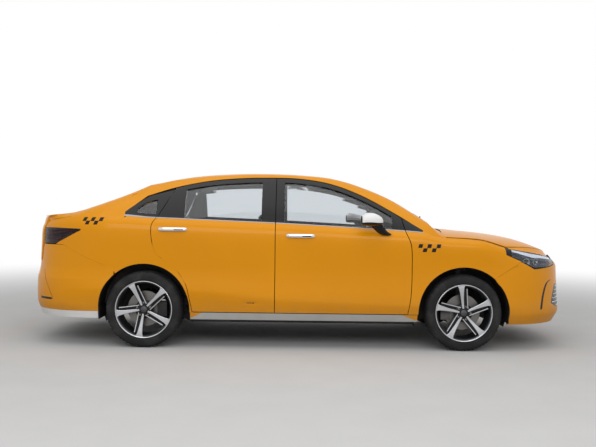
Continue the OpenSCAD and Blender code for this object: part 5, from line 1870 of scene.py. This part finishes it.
def rounded_base(outline, y, wide):
    """Moulded base of a seat with softened sides."""
    base = Build()
    base.tube([[(x, y + s * wide, z) for x, z in drawn_in(outline, d)]
               for s, d in ((-1, 9), (-0.985, 3), (-0.95, 0), (0.95, 0), (0.985, 3), (1, 9))])
    return base


def make_seats():
    seats = {hand_name: hand * seat_y for hand_name, hand in SIDES.items()}
    heads = {hand_name: hand * head_y for hand_name, hand in SIDES.items()}
    up, ahead = (0, 0, 1), (1, 0, 0.3)
    front = (seats, "front_seats", bolster_y)
    bench = ({"rear": 0}, "rear_bench", bench_bolster_y)
    lanes = [bench_lane_y, bench_bolster_y]
    for name, outline, wide, way, rows, across, places in (
            ("seat_cushion", SEAT_CUSHION, seat_half, up, [-10, 90, 190], [bolster_y], front),
            ("seat_back", SEAT_BACK, seat_half, ahead, [500, 600, 700, 800], [bolster_y], front),
            ("bench_cushion", BENCH_CUSHION, bench_half, up, [-560, -700], lanes, bench),
            ("bench_back", BENCH_BACK, bench_half, ahead, [560, 700, 820], lanes, bench)):
        pad = filled_pad(outline, wide)
        sew(pad, way, rows, across)
        add_pads(name, pad, *places)
    add_pads("headrest", filled_pad(HEAD_PAD, head_half, 5), seats)
    add_pads("bench_headrest", filled_pad(BENCH_HEAD, head_half, 5), heads)
    add_posts("headrest_posts", -318, 930, 1010, seats.values())
    add_posts("bench_headrest_posts", -1095, 940, 1010, (-head_y, head_y))
    for hand_name, y in seats.items():
        made = rounded_base(SEAT_BASE, y, seat_half - 14).piece(f"{hand_name}_seat_base", [CABIN], "body")
        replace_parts(made, "front_seats")


def shelf_sheet(u, w, d):
    """Shelf between the bench and the rear window."""
    x = mix(-1120, back_x + 20, u)
    return Vector((x, w * 590, mix(968, 1072, u) + 6 * math.sin(math.pi * u) - d))


def make_dash():
    sheet("parcel_shelf", LINING, "body", shelf_sheet, 16, steps(16, -1, 1), top=0, low=8)
    dash = Build()
    hood = [(664, 370, 948, 140, 14), (668, 370, 954, 158, 30), (690, 370, 956, 164, 36), (740, 370, 954, 158, 32),
            (800, 370, 944, 120, 14)]
    dash.tube([rounded_ring(*row) for row in hood])
    screen = [(640, 0, 975, 112, 58), (643, 0, 975, 120, 66), (652, 0, 975, 120, 66), (660, 0, 975, 110, 56)]
    dash.tube([rounded_ring(*row, power=8) for row in screen], 1)
    for y in (-600, -150, 150, 600):
        dash.tube([rounded_ring(x, y, 880, wide, tall, power=5) for x, wide, tall in
                   ((652, 62, 30), (640, 64, 32), (637, 60, 28), (641, 54, 22), (652, 52, 20))], 1)
        for z in (868, 880, 892):
            dash.tube([rounded_ring(x, y, z, 52, 2) for x in (638, 650)])
    dash.piece("dash_details", [CABIN, GLOSS_BLACK], "body")


make_doors()
make_side_frames()
make_ends()
make_top()
make_wheels()
make_lamps()
make_nose_and_tail()
make_checks()
make_mirrors()
make_handles()
make_cowl_and_walls()
make_door_cards()
make_linings()
make_seats()
make_dash()


# Finishes of the solids that stay in view
SOLID_FINISH = {"yellow_paint": YELLOW, "white_trim": WHITE, "black_trim": BLACK, "glass": GLASS, "chrome": CHROME,
                "lamp_clear": LAMP_DARK, "lamp_red": LAMP_RED_DARK, "tyre": RUBBER, "alloy": CAST_ALLOY,
                "underbody": UNDERBODY, "steel": STEEL, "casting": CASTING, "seat_fabric": CLOTH}
JAMBS = ["side_frames"] + [f"{place}_{hand_name}_door" for place in AXLES for hand_name in SIDES]
for row in frame["record"]["subparts"]:
    solid = frame["nodes"][row["node"]]
    finish = JAMB if row["node"] in JAMBS else SOLID_FINISH[row["material_slot"]]
    solid.data.materials.clear()
    solid.data.materials.append(finish.material)


# Stage, light and camera

def stage():
    """Pale floor that fades to white far from the car."""
    f = Finish("pale_floor", None, Roughness=0.9, Specular_IOR_Level=0.1)
    f.feed("Base Color", f.blend(f.noise(3, 4), rgb(200, 200, 199), rgb(192, 192, 192)))
    f.bump(f.noise(80, 4), 0.0004)
    far = f.node("ShaderNodeVectorMath", {"operation": "LENGTH"}, {0: f.place()}, out="Value")
    white = f.node("ShaderNodeEmission", sockets={"Color": (1, 1, 1, 1), "Strength": 1})
    surface = Value(f, f.shader.outputs[0])
    faded = f.node("ShaderNodeMixShader", sockets={0: far.span(3, 11), 1: surface, 2: white})
    f.put(f.nodes["Material Output"].inputs["Surface"], faded)
    reach = 60
    mesh = bpy.data.meshes.new("floor")
    corners = [(x * reach, y * reach, 0) for x, y in ((-1, -1), (1, -1), (1, 1), (-1, 1))]
    mesh.from_pydata(corners, [], [(0, 1, 2, 3)])
    mesh.materials.append(f.material)
    floor = placed("floor", mesh)


class Sky(Finish):
    """The world's nodes, written in the same way as a finish."""

    def __init__(self, name):
        self.material = bpy.data.worlds.new(name)
        self.material.use_nodes = True
        self.nodes = self.material.node_tree.nodes
        self.links = self.material.node_tree.links
        self.shader = self.nodes["Background"]


def studio_sky():
    """Plain grey light that the camera, gloss and glass see as white."""
    f = Sky("studio")
    kinds = ("Is Camera Ray", "Is Glossy Ray", "Is Transmission Ray")
    rays = [f.node("ShaderNodeLightPath", out=kind) for kind in kinds]
    unseen = (1 - rays[0]) * (1 - rays[1]) * (1 - rays[2])
    f.feed("Color", (1, 1, 1, 1))
    f.feed("Strength", 1 - unseen * 0.45)
    bpy.context.scene.world = f.material


def soft_lamp(name, place, aim, size, power):
    light = bpy.data.lights.new(name, "AREA")
    light.shape = "RECTANGLE"
    light.size, light.size_y = size
    light.energy = power
    lamp = placed(name, light)
    lamp.location = place
    lamp.rotation_euler = (Vector(aim) - Vector(place)).to_track_quat("-Z", "Y").to_euler()


def camera():
    """The photograph's view: square to the right side from about seven metres."""
    lens = bpy.data.cameras.new("camera")
    lens.sensor_width = 36
    lens.lens = 36 * 760 / 596
    eye = placed("camera", lens)
    pitch = math.radians(90 - 0.79)
    roll = math.radians(0.69)
    turn = Matrix.Rotation(pitch, 4, "X") @ Matrix.Rotation(roll, 4, "Z")
    eye.matrix_world = Matrix.Translation((-0.0095, -7.19, 1.137)) @ turn
    bpy.context.scene.camera = eye


stage()
studio_sky()
soft_lamp("overhead", (0, -1.5, 5.5), (0, 0, 0.5), (7, 5), 120)
soft_lamp("side", (0, -7, 3.6), (0, 0, 0.6), (8, 2.5), 195)
camera()
bpy.context.scene.view_settings.view_transform = "Standard"
